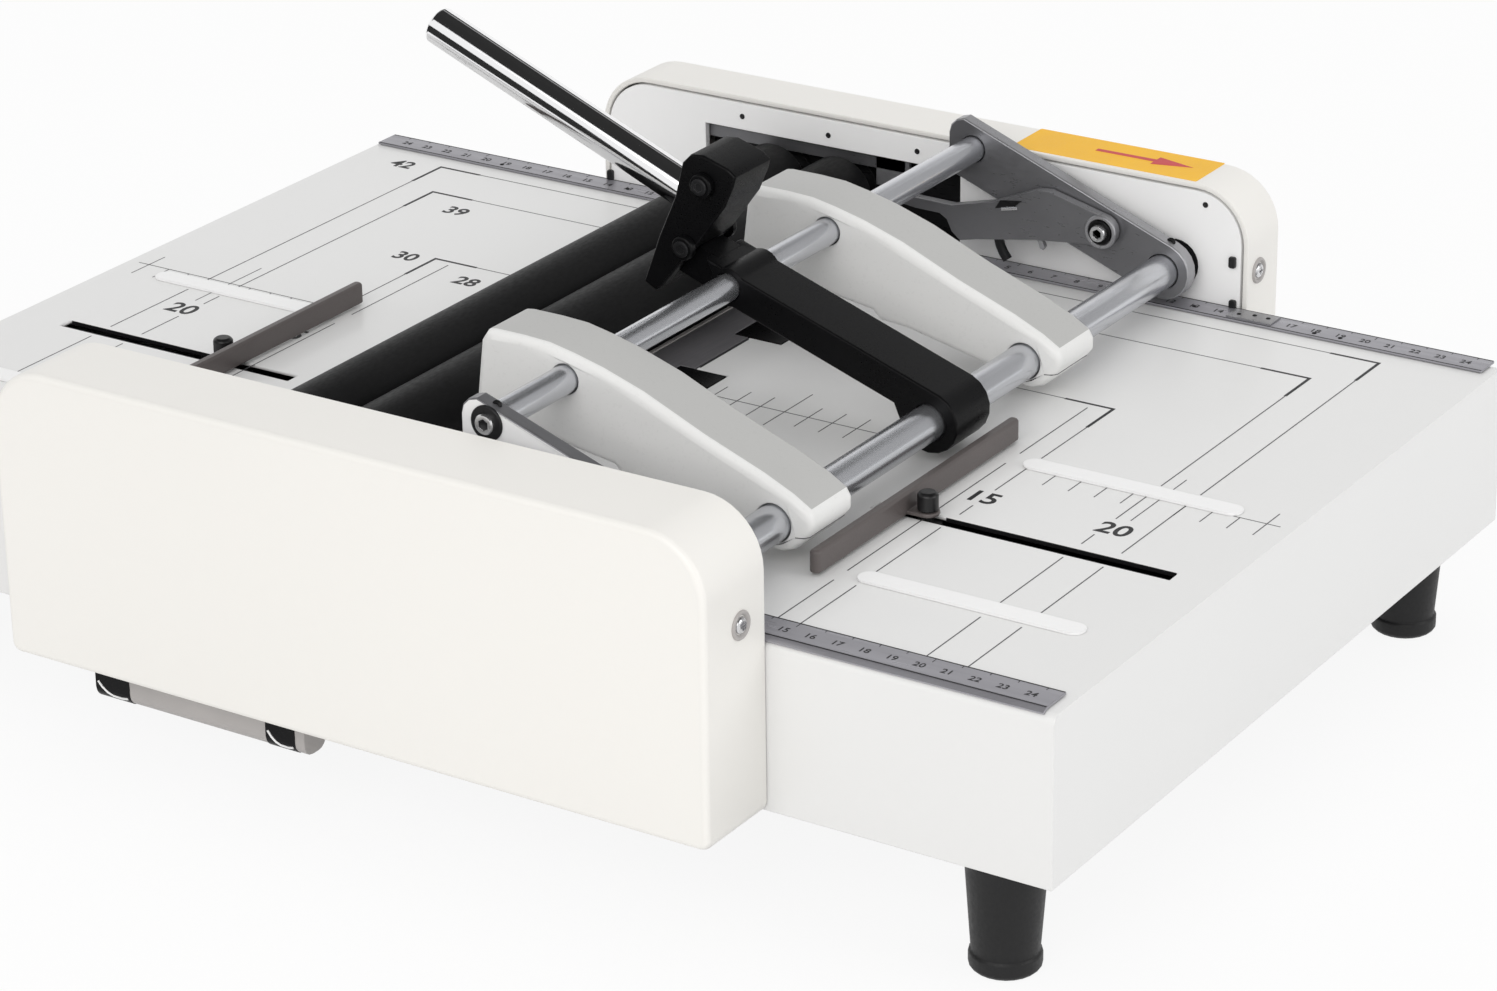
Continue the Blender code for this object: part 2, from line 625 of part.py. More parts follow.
def bearing_bracket():
    """A folded bracket behind the window that holds the rollers' rear bearings."""
    seat = PLATE_REAR_Y + FRAME_PLATE + FIT
    back = seat + BRACKET_DEPTH
    low = TABLE_TOP + WINDOW_BOTTOM_RISE
    high = TABLE_TOP + WINDOW_TOP_RISE + BRACKET_LAP
    outline = [
        (seat, low - BRACKET_LAP), (back, low - BRACKET_LAP), (back, high), (seat, high),
        (seat, high - BRACKET_TOP_SHEET), (back - BRACKET_SHEET, high - BRACKET_TOP_SHEET),
        (back - BRACKET_SHEET, low), (seat, low),
    ]
    ends = (-WINDOW_LEFT - BRACKET_LAP, WINDOW_RIGHT + BRACKET_LAP)
    bracket = prism("bearing_bracket", outline, "X", *ends, "dark_steel")
    for side, x in ROLLER_XS.items():
        hole = rod(f"rear_{side}_bearing_hole", x, ROLLER_Z, seat, back + OVERRUN, bearing_radius() + FIT)
        cut(bracket, hole)
    return bracket


def bushing_radius():
    return SHAFT_RADIUS + FIT + BUSHING_WALL


def bearing_radius():
    return ROLLER_SHAFT_RADIUS + FIT + BEARING_WALL


# Rollers, gears, motor and knife


def gear_outline(teeth, centre, first_tooth):
    pitch_radius = GEAR_MODULE * teeth / 2
    tip = pitch_radius + GEAR_ADDENDUM_SHARE * GEAR_MODULE
    root = pitch_radius - GEAR_DEDENDUM_SHARE * GEAR_MODULE
    pitch = math.tau / teeth
    corners = (
        (root, -TOOTH_ROOT_SHARE), (tip, -TOOTH_TIP_SHARE), (tip, TOOTH_TIP_SHARE), (root, TOOTH_ROOT_SHARE)
    )
    points = []
    for tooth in range(teeth):
        for radius, share in corners:
            turn = first_tooth + pitch * (tooth + share)
            points.append((centre[0] + radius * math.cos(turn), centre[1] + radius * math.sin(turn)))
    return points


def rollers():
    bore = ROLLER_SHAFT_RADIUS + FIT
    rear_plate_y = PLATE_REAR_Y + FRAME_PLATE + FIT + BRACKET_DEPTH - BRACKET_SHEET / 2
    front_plate_y = PLATE_FRONT_Y - FRAME_PLATE / 2
    for side, x in ROLLER_XS.items():
        span = (TABLE_FRONT + ROLLER_END_GAP, TABLE_REAR - ROLLER_END_GAP)
        ring(f"{side}_roller", x, ROLLER_Z, *span, ROLLER_RADIUS, bore, "rubber", FINE_SIDES)
        shaft_end = rear_plate_y + BEARING_WIDTH / 2 + FIT
        rod(f"{side}_roller_shaft", x, ROLLER_Z, SHAFT_FRONT_Y, shaft_end, ROLLER_SHAFT_RADIUS, "steel")
        for place, y in (("front", front_plate_y), ("rear", rear_plate_y)):
            span = (y - BEARING_WIDTH / 2, y + BEARING_WIDTH / 2)
            ring(f"roller_bearing_{place}_{side}", x, ROLLER_Z, *span, bearing_radius(), bore, "dark_steel")
        first_tooth = 0 if side == "left" else math.pi - math.pi / GEAR_TEETH
        outline = gear_outline(GEAR_TEETH, (x, ROLLER_Z), first_tooth)
        origin = (x, GEAR_FRONT_Y, ROLLER_Z)
        gear = prism(f"{side}_roller_gear", outline, "Y", GEAR_FRONT_Y, GEAR_BACK_Y, "plastic", origin=origin)
        span = (GEAR_FRONT_Y - OVERRUN, GEAR_BACK_Y + OVERRUN)
        cut(gear, rod(f"{side}_gear_bore", x, ROLLER_Z, *span, bore))


def drive():
    """The drive gear with its shaft, and the motor behind the front frame plate."""
    facing = DRIVE_DIRECTION - math.pi
    first_tooth = facing - math.pi / DRIVE_GEAR_TEETH
    outline = gear_outline(DRIVE_GEAR_TEETH, (DRIVE_X, DRIVE_Z), first_tooth)
    origin = (DRIVE_X, GEAR_FRONT_Y, DRIVE_Z)
    gear = prism("drive_gear", outline, "Y", GEAR_FRONT_Y, GEAR_BACK_Y, "brass", origin=origin)
    shaft_span = (GEAR_FRONT_Y - PLATE, PLATE_FRONT_Y)
    fuse(gear, rod("drive_shaft", DRIVE_X, DRIVE_Z, *shaft_span, DRIVE_SHAFT_RADIUS, sides=SMALL_SIDES))
    body = MOTOR_LENGTH - MOTOR_TAIL_LENGTH
    profile = [
        (0, 0), (MOTOR_RADIUS, 0), (MOTOR_RADIUS, body), (MOTOR_TAIL_RADIUS, body),
        (MOTOR_TAIL_RADIUS, MOTOR_LENGTH), (0, MOTOR_LENGTH),
    ]
    turned("drive_motor", profile, (DRIVE_X, TABLE_FRONT, DRIVE_Z), (0, 1, 0), "steel")


def knife():
    """The fold knife under the nip, the carrier that lifts it, two guide posts and the solenoid."""
    top = TABLE_TOP - KNIFE_DROP
    bottom = top - KNIFE_HEIGHT
    half = KNIFE_THICKNESS / 2
    low = (NIP_X - half, TABLE_FRONT + KNIFE_END_GAP, bottom)
    high = (NIP_X + half, TABLE_REAR - KNIFE_END_GAP, top)
    origin = (NIP_X, TABLE_FRONT + TABLE_DEPTH / 2, top)
    block("fold_knife", low, high, "steel", origin=origin)
    carrier_top = bottom + KNIFE_GROOVE
    carrier_bottom = carrier_top - CARRIER_HEIGHT
    ends = (TABLE_FRONT + CARRIER_END_GAP, TABLE_REAR - CARRIER_END_GAP)
    low = (NIP_X - CARRIER_LEFT, ends[0], carrier_bottom)
    high = (NIP_X + CARRIER_RIGHT, ends[1], carrier_top)
    carrier = block("knife_carrier", low, high, "steel", origin=origin)
    groove_low = (NIP_X - half - FIT, ends[0] - OVERRUN, bottom - FIT)
    groove_high = (NIP_X + half + FIT, ends[1] + OVERRUN, carrier_top + OVERRUN)
    cut(carrier, block("knife_groove", groove_low, groove_high))
    middle_y = origin[1]
    plunger_low = carrier_bottom - PLUNGER_LENGTH
    fuse(carrier, post("plunger", NIP_X, middle_y, plunger_low, carrier_bottom + PLATE, PLUNGER_RADIUS))
    for place, y in (("front", ends[0] + GUIDE_INSET), ("rear", ends[1] - GUIDE_INSET)):
        x = NIP_X + GUIDE_OFFSET
        span = (carrier_bottom - OVERRUN, carrier_top + OVERRUN)
        cut(carrier, post(f"{place}_guide_hole", x, y, *span, GUIDE_RADIUS + FIT))
        height = TABLE_TOP - GUIDE_TOP_DROP - BASE_TOP - FIT
        profile = [
            (0, 0), (GUIDE_FLANGE_RADIUS, 0), (GUIDE_FLANGE_RADIUS, GUIDE_FLANGE),
            (GUIDE_RADIUS, GUIDE_FLANGE), (GUIDE_RADIUS, height), (0, height),
        ]
        turned(f"knife_guide_{place}", profile, (x, y, BASE_TOP + FIT), (0, 0, 1), "steel", SMALL_SIDES)
    low = (NIP_X - SOLENOID_WIDTH / 2, middle_y - SOLENOID_LENGTH / 2, BASE_TOP + FIT)
    high = (NIP_X + SOLENOID_WIDTH / 2, middle_y + SOLENOID_LENGTH / 2, TABLE_TOP - SOLENOID_TOP_DROP)
    solenoid = block("knife_solenoid", low, high, "dark_steel", FIT)
    bore_low = plunger_low - FIT
    cut(solenoid, post("plunger_bore", NIP_X, middle_y, bore_low, high[2] + OVERRUN, PLUNGER_RADIUS + FIT))


# Anvils and beam


def anvils():
    beam_top = TABLE_TOP - PLATE - FIT
    half = BEAM_WIDTH / 2
    inner = half - BEAM_SHEET
    low = beam_top - BEAM_HEIGHT
    roof = beam_top - BEAM_SHEET
    corners = (
        (-half, low), (-half, beam_top), (half, beam_top), (half, low),
        (inner, low), (inner, roof), (-inner, roof), (-inner, low),
    )
    outline = [(STAPLE_X + across, up) for across, up in corners]
    prism("anvil_beam", outline, "Y", TABLE_FRONT, TABLE_REAR, "dark_steel")
    for place, depth in anvil_places():
        middle = SHEET_FRONT + depth
        low = (STAPLE_X - ANVIL_WIDTH / 2, middle - ANVIL_LENGTH / 2, TABLE_TOP - PLATE)
        high = (STAPLE_X + ANVIL_WIDTH / 2, middle + ANVIL_LENGTH / 2, TABLE_TOP)
        block(f"anvil_{place}", low, high, "black_metal")


# Press group


def press_pivot():
    pivot = bpy.data.objects.new("press_pivot", None)
    pivot.location = (SHAFT_X, TABLE_FRONT, SHAFT_Z)
    bpy.context.scene.collection.objects.link(pivot)
    return pivot


def hang(pivot, *pieces):
    """Parents each piece to the pivot; its origin already lies there."""
    for piece in pieces:
        piece.parent = pivot
        piece.location = (0, 0, 0)


def at_rod():
    return SHAFT_X - ROD_LEFT, SHAFT_Z + ROD_RISE


def shaft_bore(name, start, end):
    return rod(name + "_shaft_bore", SHAFT_X, SHAFT_Z, start - OVERRUN, end + OVERRUN, SHAFT_RADIUS + FIT)


def rod_bore(name, start, end):
    return rod(name + "_rod_bore", *at_rod(), start - OVERRUN, end + OVERRUN, ROD_RADIUS + FIT)


def stapler(place, depth, pivot):
    centre = (SHAFT_X, SHAFT_Z)
    middle = SHEET_FRONT + depth
    span = (middle - STAPLER_WIDTH / 2, middle + STAPLER_WIDTH / 2)
    outline = scaled(STAPLER_SHARES, STAPLER_REACH, STAPLER_RISE, centre)
    name = f"{place}_stapler_housing"
    housing = prism(name, outline, "Y", *span, "stapler", STAPLER_EDGE_RADIUS, origin=pivot.location)
    slot_outline = scaled(MAGAZINE_SLOT_SHARES, STAPLER_REACH, STAPLER_RISE, centre)
    half = MAGAZINE_WIDTH / 2
    slot = prism(f"{place}_magazine_slot", slot_outline, "Y", middle - half - FIT, middle + half + FIT)
    cut(housing, shaft_bore(name, *span), rod_bore(name, *span), slot)
    outline = scaled(MAGAZINE_SHARES, STAPLER_REACH, STAPLER_RISE, centre)
    magazine_name = f"{place}_staple_magazine"
    sides = (middle - half, middle + half)
    magazine = prism(magazine_name, outline, "Y", *sides, "steel", origin=pivot.location)
    hang(pivot, housing, magazine)


def link(place, depth, rise, pivot):
    centre = (SHAFT_X, SHAFT_Z)
    left = SHAFT_X - LINK_LEFT
    top = SHAFT_Z + rise
    outline = [(left, SHAFT_Z + LINK_BOTTOM)]
    outline += reversed(arc((left + LINK_CORNER, top - LINK_CORNER), LINK_CORNER, 90, 180, 3))
    outline += reversed(arc(centre, LINK_BOSS_RADIUS, *LINK_ARC_DEGREES, 10))
    middle = SHEET_FRONT + depth
    span = (middle - LINK_THICKNESS / 2, middle + LINK_THICKNESS / 2)
    name = f"{place}_link"
    piece = prism(name, outline, "Y", *span, "dark_steel", LINK_EDGE_RADIUS, origin=pivot.location)
    cut(piece, shaft_bore(name, *span), rod_bore(name, *span))
    if place == "rear":
        pin_span = (span[0] - OVERRUN, span[1] + OVERRUN)
        pin_radius = LATCH_PIN_RADIUS + FIT
        cut(piece, rod("latch_pin_bore", *latch_centre(), *pin_span, pin_radius, sides=SMALL_SIDES))
    hang(pivot, piece)


def latch_centre():
    return SHAFT_X - LATCH_LEFT, SHAFT_Z + LATCH_RISE


def latch_lever():
    across, up = latch_centre()
    front_face = SHEET_FRONT + REAR_LINK_Y - LINK_THICKNESS / 2
    back = front_face - LATCH_GAP
    front = back - LATCH_THICKNESS
    outline = scaled(LATCH_SHARES, LATCH_REACH, LATCH_HEIGHT, (across, up))
    outline += arc((across, up), LATCH_BOSS_RADIUS, *LATCH_ARC_DEGREES, 8)
    origin = (across, back, up)
    lever = prism("latch_lever", outline, "Y", front, back, "dark_steel", origin=origin)
    pin_end = front_face + LINK_THICKNESS - FIT
    fuse(lever, rod("latch_pin", across, up, front - PLATE, pin_end, LATCH_PIN_RADIUS, sides=SMALL_SIDES))


def press_arm(pivot):
    centre = (SHAFT_X, SHAFT_Z)
    middle = SHEET_FRONT + ARM_Y
    span = (middle - ARM_WIDTH / 2, middle + ARM_WIDTH / 2)
    outline = scaled(ARM_LOWER_SHARES, ARM_LEFT, ARM_TOP, centre)
    outline += [(SHAFT_X - ARM_LEFT, SHAFT_Z + ARM_TOP)]
    outline += reversed(arc(centre, ARM_NOSE_RADIUS, *ARM_ARC_DEGREES, 12))
    arm = prism("press_arm", outline, "Y", *span, "black_metal", ARM_EDGE_RADIUS, origin=pivot.location)
    tongue_outline = scaled(TONGUE_SHARES, ARM_LEFT, ARM_TOP, centre)
    half = TONGUE_WIDTH / 2
    fuse(arm, prism("arm_tongue", tongue_outline, "Y", middle - half, middle + half))
    fuse(arm, rod("rod_boss", *at_rod(), *span, ROD_BOSS_RADIUS))
    cut(arm, shaft_bore("press_arm", *span), rod_bore("press_arm", *span))
    cut(arm, rod("tongue_bore", *on_bracket(LOWER_BOLT_SHARES), *span, BOLT_RADIUS + FIT, sides=SMALL_SIDES))
    hang(pivot, arm)


def on_bracket(shares):
    return scaled([shares], BRACKET_REACH, BRACKET_RISE, (SHAFT_X, SHAFT_Z))[0]


def handle(pivot):
    """The bracket on the arm's tongue, the tube clamped in it and the two bolts."""
    centre = (SHAFT_X, SHAFT_Z)
    middle = SHEET_FRONT + ARM_Y
    span = (middle - ARM_WIDTH / 2, middle + ARM_WIDTH / 2)
    outline = scaled(BRACKET_SHARES, BRACKET_REACH, BRACKET_RISE, centre)
    finish = "black_metal"
    bracket = prism("handle_bracket", outline, "Y", *span, finish, ARM_EDGE_RADIUS, origin=pivot.location)
    slot_outline = scaled(BRACKET_SLOT_SHARES, BRACKET_REACH, BRACKET_RISE, centre)
    half = TONGUE_WIDTH / 2 + FIT
    seat_x, seat_z = on_bracket(TUBE_SEAT_SHARES)
    direction = Vector((math.cos(TUBE_ANGLE), 0, -math.sin(TUBE_ANGLE)))
    end = Vector((seat_x, middle, seat_z)) - TUBE_LENGTH * direction
    bore_profile = [(0, 0), (TUBE_RADIUS + FIT, 0), (TUBE_RADIUS + FIT, TUBE_LENGTH), (0, TUBE_LENGTH)]
    bore = turned("tube_bore", bore_profile, end + FIT * direction, direction)
    cut(bracket, prism("tongue_slot", slot_outline, "Y", middle - half, middle + half), bore)
    inner = TUBE_RADIUS - TUBE_WALL
    profile = [
        (0, 0), (TUBE_RADIUS - TUBE_ROUND, 0), (TUBE_RADIUS, TUBE_ROUND), (TUBE_RADIUS, TUBE_LENGTH),
        (inner, TUBE_LENGTH), (inner, TUBE_CAP), (0, TUBE_CAP),
    ]
    tube = turned("handle_tube", profile, end, direction, "chrome", origin=pivot.location)
    hang(pivot, bracket, tube)
    for name, shares in (("upper", UPPER_BOLT_SHARES), ("lower", LOWER_BOLT_SHARES)):
        across, up = on_bracket(shares)
        cut(bracket, rod(f"bracket_{name}_bore", across, up, *span, BOLT_RADIUS + FIT, sides=SMALL_SIDES))
        hang(pivot, bolt(f"bracket_bolt_{name}", across, up, span, pivot))


def bolt(name, across, up, span, pivot):
    """A bolt along Y with a head on each side of what it holds."""
    length = span[1] - span[0] + 2 * FIT
    head = BOLT_HEAD_RADIUS - BOLT_ROUND
    profile = [
        (0, -BOLT_HEAD), (head, -BOLT_HEAD), (BOLT_HEAD_RADIUS, BOLT_ROUND - BOLT_HEAD),
        (BOLT_HEAD_RADIUS, 0), (BOLT_RADIUS, 0), (BOLT_RADIUS, length), (BOLT_HEAD_RADIUS, length),
        (BOLT_HEAD_RADIUS, length + BOLT_HEAD - BOLT_ROUND), (head, length + BOLT_HEAD),
        (0, length + BOLT_HEAD),
    ]
    centre = (across, span[0] - FIT, up)
    return turned(name, profile, centre, (0, 1, 0), "steel", SMALL_SIDES, origin=pivot.location)


def press_group():
    pivot = press_pivot()
    shaft_end = PLATE_REAR_Y + FRAME_PLATE + PLATE
    shaft_span = (SHAFT_FRONT_Y, shaft_end)
    shaft = rod("main_shaft", SHAFT_X, SHAFT_Z, *shaft_span, SHAFT_RADIUS, "steel", origin=pivot.location)
    rod_start = SHEET_FRONT - FRONT_LINK_Y - LINK_THICKNESS / 2
    rod_end = SHEET_FRONT + REAR_LINK_Y + LINK_THICKNESS / 2
    cross_rod = rod("cross_rod", *at_rod(), rod_start, rod_end, ROD_RADIUS, "chrome", origin=pivot.location)
    hang(pivot, shaft, cross_rod)
    stapler("front", FRONT_STAPLER_Y, pivot)
    stapler("rear", REAR_STAPLER_Y, pivot)
    link("front", -FRONT_LINK_Y, FRONT_LINK_TOP, pivot)
    link("rear", REAR_LINK_Y, REAR_LINK_TOP, pivot)
    press_arm(pivot)
    handle(pivot)
    latch_lever()
    inner = SHAFT_RADIUS + FIT
    front_middle = PLATE_FRONT_Y - FRAME_PLATE / 2
    rear_middle = PLATE_REAR_Y + FRAME_PLATE / 2
    for place, y in (("front", front_middle), ("rear", rear_middle)):
        span = (y - FRAME_PLATE / 2, y + FRAME_PLATE / 2)
        ring(f"shaft_bushing_{place}", SHAFT_X, SHAFT_Z, *span, bushing_radius(), inner, "brass")
    spring_back = PLATE_FRONT_Y - FRAME_PLATE - FIT
    spring_span = (spring_back - SPRING_LENGTH, spring_back)
    ring("return_spring", SHAFT_X, SHAFT_Z, *spring_span, inner + SPRING_WIRE, inner, "steel")


# Fences


def fence(side):
    """A fence with a lug for its clamp screw, which slides in the table's slot."""
    sign = 1 if side == "right" else -1
    x = RIGHT_FENCE_X if sign > 0 else -LEFT_FENCE_X
    slot_y = SHEET_FRONT + (RIGHT_SLOT_Y if sign > 0 else LEFT_SLOT_Y)
    middle = slot_y + FENCE_SETBACK
    half = FENCE_WIDTH / 2
    low, high = (x - half, middle - FENCE_LENGTH / 2), (x + half, middle + FENCE_LENGTH / 2)
    bottom = TABLE_TOP + FENCE_LIFT
    outline = rounded(low, high, [half - FENCE_ROUND / 4] * 4, 3)
    origin = (x, slot_y, bottom)
    top = bottom + FENCE_HEIGHT
    bar = prism(f"{side}_fence", outline, "Z", bottom, top, "fence", FENCE_ROUND, "end", origin)
    clamp_x = x + sign * (half + CLAMP_OFFSET)
    lug_low = (min(x, clamp_x), slot_y - LUG_RADIUS, bottom)
    lug_high = (max(x, clamp_x), slot_y + LUG_RADIUS, bottom + LUG_THICKNESS)
    lug = block(f"{side}_lug", lug_low, lug_high)
    fuse(bar, lug, post(f"{side}_lug_end", clamp_x, slot_y, bottom, bottom + LUG_THICKNESS, LUG_RADIUS))
    span = (bottom - OVERRUN, bottom + LUG_THICKNESS + OVERRUN)
    cut(bar, post(f"{side}_stud_hole", clamp_x, slot_y, *span, CLAMP_STUD_RADIUS + FIT))
    flange_top = TABLE_TOP - PLATE - FIT
    knob_bottom = bottom + LUG_THICKNESS + FIT
    knob_top = knob_bottom + CLAMP_KNOB_HEIGHT
    start = flange_top - CLAMP_FLANGE
    stud = knob_bottom - start
    profile = [
        (0, 0), (CLAMP_FLANGE_RADIUS, 0), (CLAMP_FLANGE_RADIUS, CLAMP_FLANGE),
        (CLAMP_STUD_RADIUS, CLAMP_FLANGE), (CLAMP_STUD_RADIUS, stud), (CLAMP_KNOB_RADIUS, stud),
        (CLAMP_KNOB_RADIUS, knob_top - start - FENCE_ROUND),
        (CLAMP_KNOB_RADIUS - FENCE_ROUND, knob_top - start), (0, knob_top - start),
    ]
    turned(f"{side}_fence_screw", profile, (clamp_x, slot_y, start), (0, 0, 1), "plastic", SMALL_SIDES)


# Bar under the front cover, power inlet and switch


def front_bar():
    y = TABLE_FRONT - FRONT_COVER_DEPTH + BAR_SETBACK
    top = FOOT_HEIGHT - BAR_DROP
    low, high = (y, top - BAR_HEIGHT), (y + BAR_THICKNESS, top)
    bar = prism("front_bar", rounded(low, high, [BAR_CORNER] * 4), "X", -BAR_LEFT, -BAR_RIGHT, "grip_bar")
    for place, x in (("left", BAR_POST_INSET - BAR_LEFT), ("right", -BAR_RIGHT - BAR_POST_INSET)):
        post_low = (x - BAR_POST_WIDTH / 2, y + BAR_CORNER / 2, top - BAR_HEIGHT / 2)
        post_high = (x + BAR_POST_WIDTH / 2, y + BAR_THICKNESS - BAR_CORNER / 2, FOOT_HEIGHT - FIT)
        fuse(bar, block(f"bar_post_{place}", post_low, post_high))
    for place, x in (("left", BAR_OVAL_INSET - BAR_LEFT), ("right", -BAR_RIGHT - BAR_OVAL_INSET)):
        half = BAR_OVAL_LENGTH / 2
        rise = low[1] + BAR_HEIGHT / 2
        oval_low = (x - half, rise - BAR_OVAL_HEIGHT / 2)
        oval_high = (x + half, rise + BAR_OVAL_HEIGHT / 2)
        outline = rounded(oval_low, oval_high, [BAR_OVAL_HEIGHT / 2 - FIT] * 4)
        cut(bar, prism(f"bar_oval_{place}", outline, "Y", y - OVERRUN, y + BAR_OVAL_DEPTH))
    return bar


def inlet():
    back = COVER_BACK_Y
    middle_z = TABLE_TOP - INLET_DROP
    half_x, half_z = INLET_WIDTH / 2, INLET_HEIGHT / 2
    low = (INLET_X - half_x, back - INLET_DEPTH, middle_z - half_z)
    high = (INLET_X + half_x, back, middle_z + half_z)
    body = block("power_inlet", low, high, "plastic")
    hollow_low = (low[0] + INLET_WALL, low[1] + INLET_BACK, low[2] + INLET_WALL)
    hollow_high = (high[0] - INLET_WALL, back + OVERRUN, high[2] - INLET_WALL)
    cut(body, block("inlet_hollow", hollow_low, hollow_high))
    for name, steps, rise in (("left", -1, 0), ("middle", 0, BLADE_RISE), ("right", 1, 0)):
        x = INLET_X + steps * BLADE_PITCH
        z = middle_z + rise
        blade_low = (x - BLADE_WIDTH / 2, low[1] + INLET_BACK / 2, z - BLADE_HEIGHT / 2)
        blade_high = (x + BLADE_WIDTH / 2, low[1] + INLET_BACK + BLADE_LENGTH, z + BLADE_HEIGHT / 2)
        fuse(body, block(f"inlet_blade_{name}", blade_low, blade_high))
    return body


def switch_rocker():
    """The rocker in its off position, tipped about a line inside the cover's back."""
    face = COVER_BACK_Y - ROCKER_RECESS
    middle_z = TABLE_TOP - INLET_DROP
    axis = Vector((0, face - ROCKER_AXIS_DEPTH, middle_z))
    outline = [
        (face, middle_z - ROCKER_HALF), (face, middle_z + ROCKER_HALF),
        (face - ROCKER_AXIS_DEPTH, middle_z + ROCKER_HALF),
        (face - ROCKER_DEPTH, middle_z + ROCKER_STEM), (face - ROCKER_DEPTH, middle_z - ROCKER_STEM),
        (face - ROCKER_AXIS_DEPTH, middle_z - ROCKER_HALF),
    ]
    turn = Matrix.Rotation(ROCKER_TILT, 3, "X")
    tipped = [turn @ (Vector((0, *point)) - axis) + axis for point in outline]
    half = SWITCH_WIDTH / 2 - 2 * FIT
    points = [(point.y, point.z) for point in tipped]
    origin = (SWITCH_X, axis.y, axis.z)
    prism("switch_rocker", points, "X", SWITCH_X - half, SWITCH_X + half, "plastic", origin=origin)


def rear_cover():
    shell = cover("rear")
    middle_z = TABLE_TOP - INLET_DROP
    back = COVER_BACK_Y
    holes = (("inlet", INLET_X, INLET_WIDTH, INLET_HEIGHT), ("switch", SWITCH_X, SWITCH_WIDTH, SWITCH_HEIGHT))
    for name, x, width, height in holes:
        low = (x - width / 2 - FIT, back - COVER_WALL - OVERRUN, middle_z - height / 2 - FIT)
        high = (x + width / 2 + FIT, back + OVERRUN, middle_z + height / 2 + FIT)
        cut(shell, block(f"{name}_hole", low, high))
    return shell


def main():
    clear_scene()
    for side in ("left", "right"):
        table(side)
        fence(side)
    guide_plate()
    base_plate()
    feet()
    rails()
    cover("front")
    rear_cover()
    front_frame_plate()
    rear_frame_plate()
    bearing_bracket()
    rollers()
    drive()
    knife()
    anvils()
    press_group()
    front_bar()
    inlet()
    switch_rocker()


main()
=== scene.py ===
"""Looks for the desktop booklet maker: finishes, print on the tables, small fittings, light and camera.

Metres, +Z up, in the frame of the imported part.
"""

import json
import math

import bmesh
import bpy
from mathutils import Matrix, Vector

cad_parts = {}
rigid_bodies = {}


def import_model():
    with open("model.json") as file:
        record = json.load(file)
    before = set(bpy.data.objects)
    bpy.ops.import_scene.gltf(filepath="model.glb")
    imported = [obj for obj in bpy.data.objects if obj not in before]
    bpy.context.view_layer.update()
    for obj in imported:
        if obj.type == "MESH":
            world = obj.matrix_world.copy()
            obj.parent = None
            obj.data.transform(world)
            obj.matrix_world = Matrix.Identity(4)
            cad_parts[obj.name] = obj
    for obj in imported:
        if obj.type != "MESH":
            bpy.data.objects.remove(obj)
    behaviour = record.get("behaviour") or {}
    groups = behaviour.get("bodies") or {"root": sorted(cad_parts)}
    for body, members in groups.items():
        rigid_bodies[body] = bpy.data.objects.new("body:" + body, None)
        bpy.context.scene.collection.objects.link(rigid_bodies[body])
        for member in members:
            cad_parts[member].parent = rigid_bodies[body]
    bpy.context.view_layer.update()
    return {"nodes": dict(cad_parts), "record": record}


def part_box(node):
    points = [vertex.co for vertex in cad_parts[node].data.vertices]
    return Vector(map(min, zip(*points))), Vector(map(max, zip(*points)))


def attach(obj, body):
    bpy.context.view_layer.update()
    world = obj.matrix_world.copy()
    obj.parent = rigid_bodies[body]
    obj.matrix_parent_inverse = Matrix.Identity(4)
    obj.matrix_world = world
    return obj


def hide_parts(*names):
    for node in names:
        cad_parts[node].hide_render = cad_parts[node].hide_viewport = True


for start_object in list(bpy.data.objects):
    bpy.data.objects.remove(start_object)
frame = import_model()

# Camera
CAMERA_PLACE = (0.8426, -1.2444, 0.7095)
CAMERA_RIGHT = (0.84169, 0.53981, -0.01280)
CAMERA_FORWARD = (-0.49938, 0.76920, -0.39868)
LENS_MM = 108.469
SENSOR_MM = 36

# Copies of the nodes and the pieces made here, angles in degrees
WELD = 0.000001
FLAT_ANGLE = 0.05
CRISP_ANGLE = 40
SKIN_SHARP = 32
PIECE_SHARP = 35

# Shares and steps that all finishes have in common
BEVEL_SAMPLES = 4
COAT_ROUGHNESS = 0.12
FLECK_GRAIN, FLECK_TONE, FLECK_NOISE = 0.6, 0.7, (0.62, 0.7)
# Edge tone: edge wear in patches. On the black metal it is also painted highlight along the edges
WEAR_AND_HIGHLIGHT_EDGE, WEAR_AND_HIGHLIGHT_NOISE, WEAR_AND_HIGHLIGHT_SCALE = (0.86, 0.995), (0.42, 0.62), 60.0


def socket(shader, name, value):
    shader.inputs[name].default_value = value


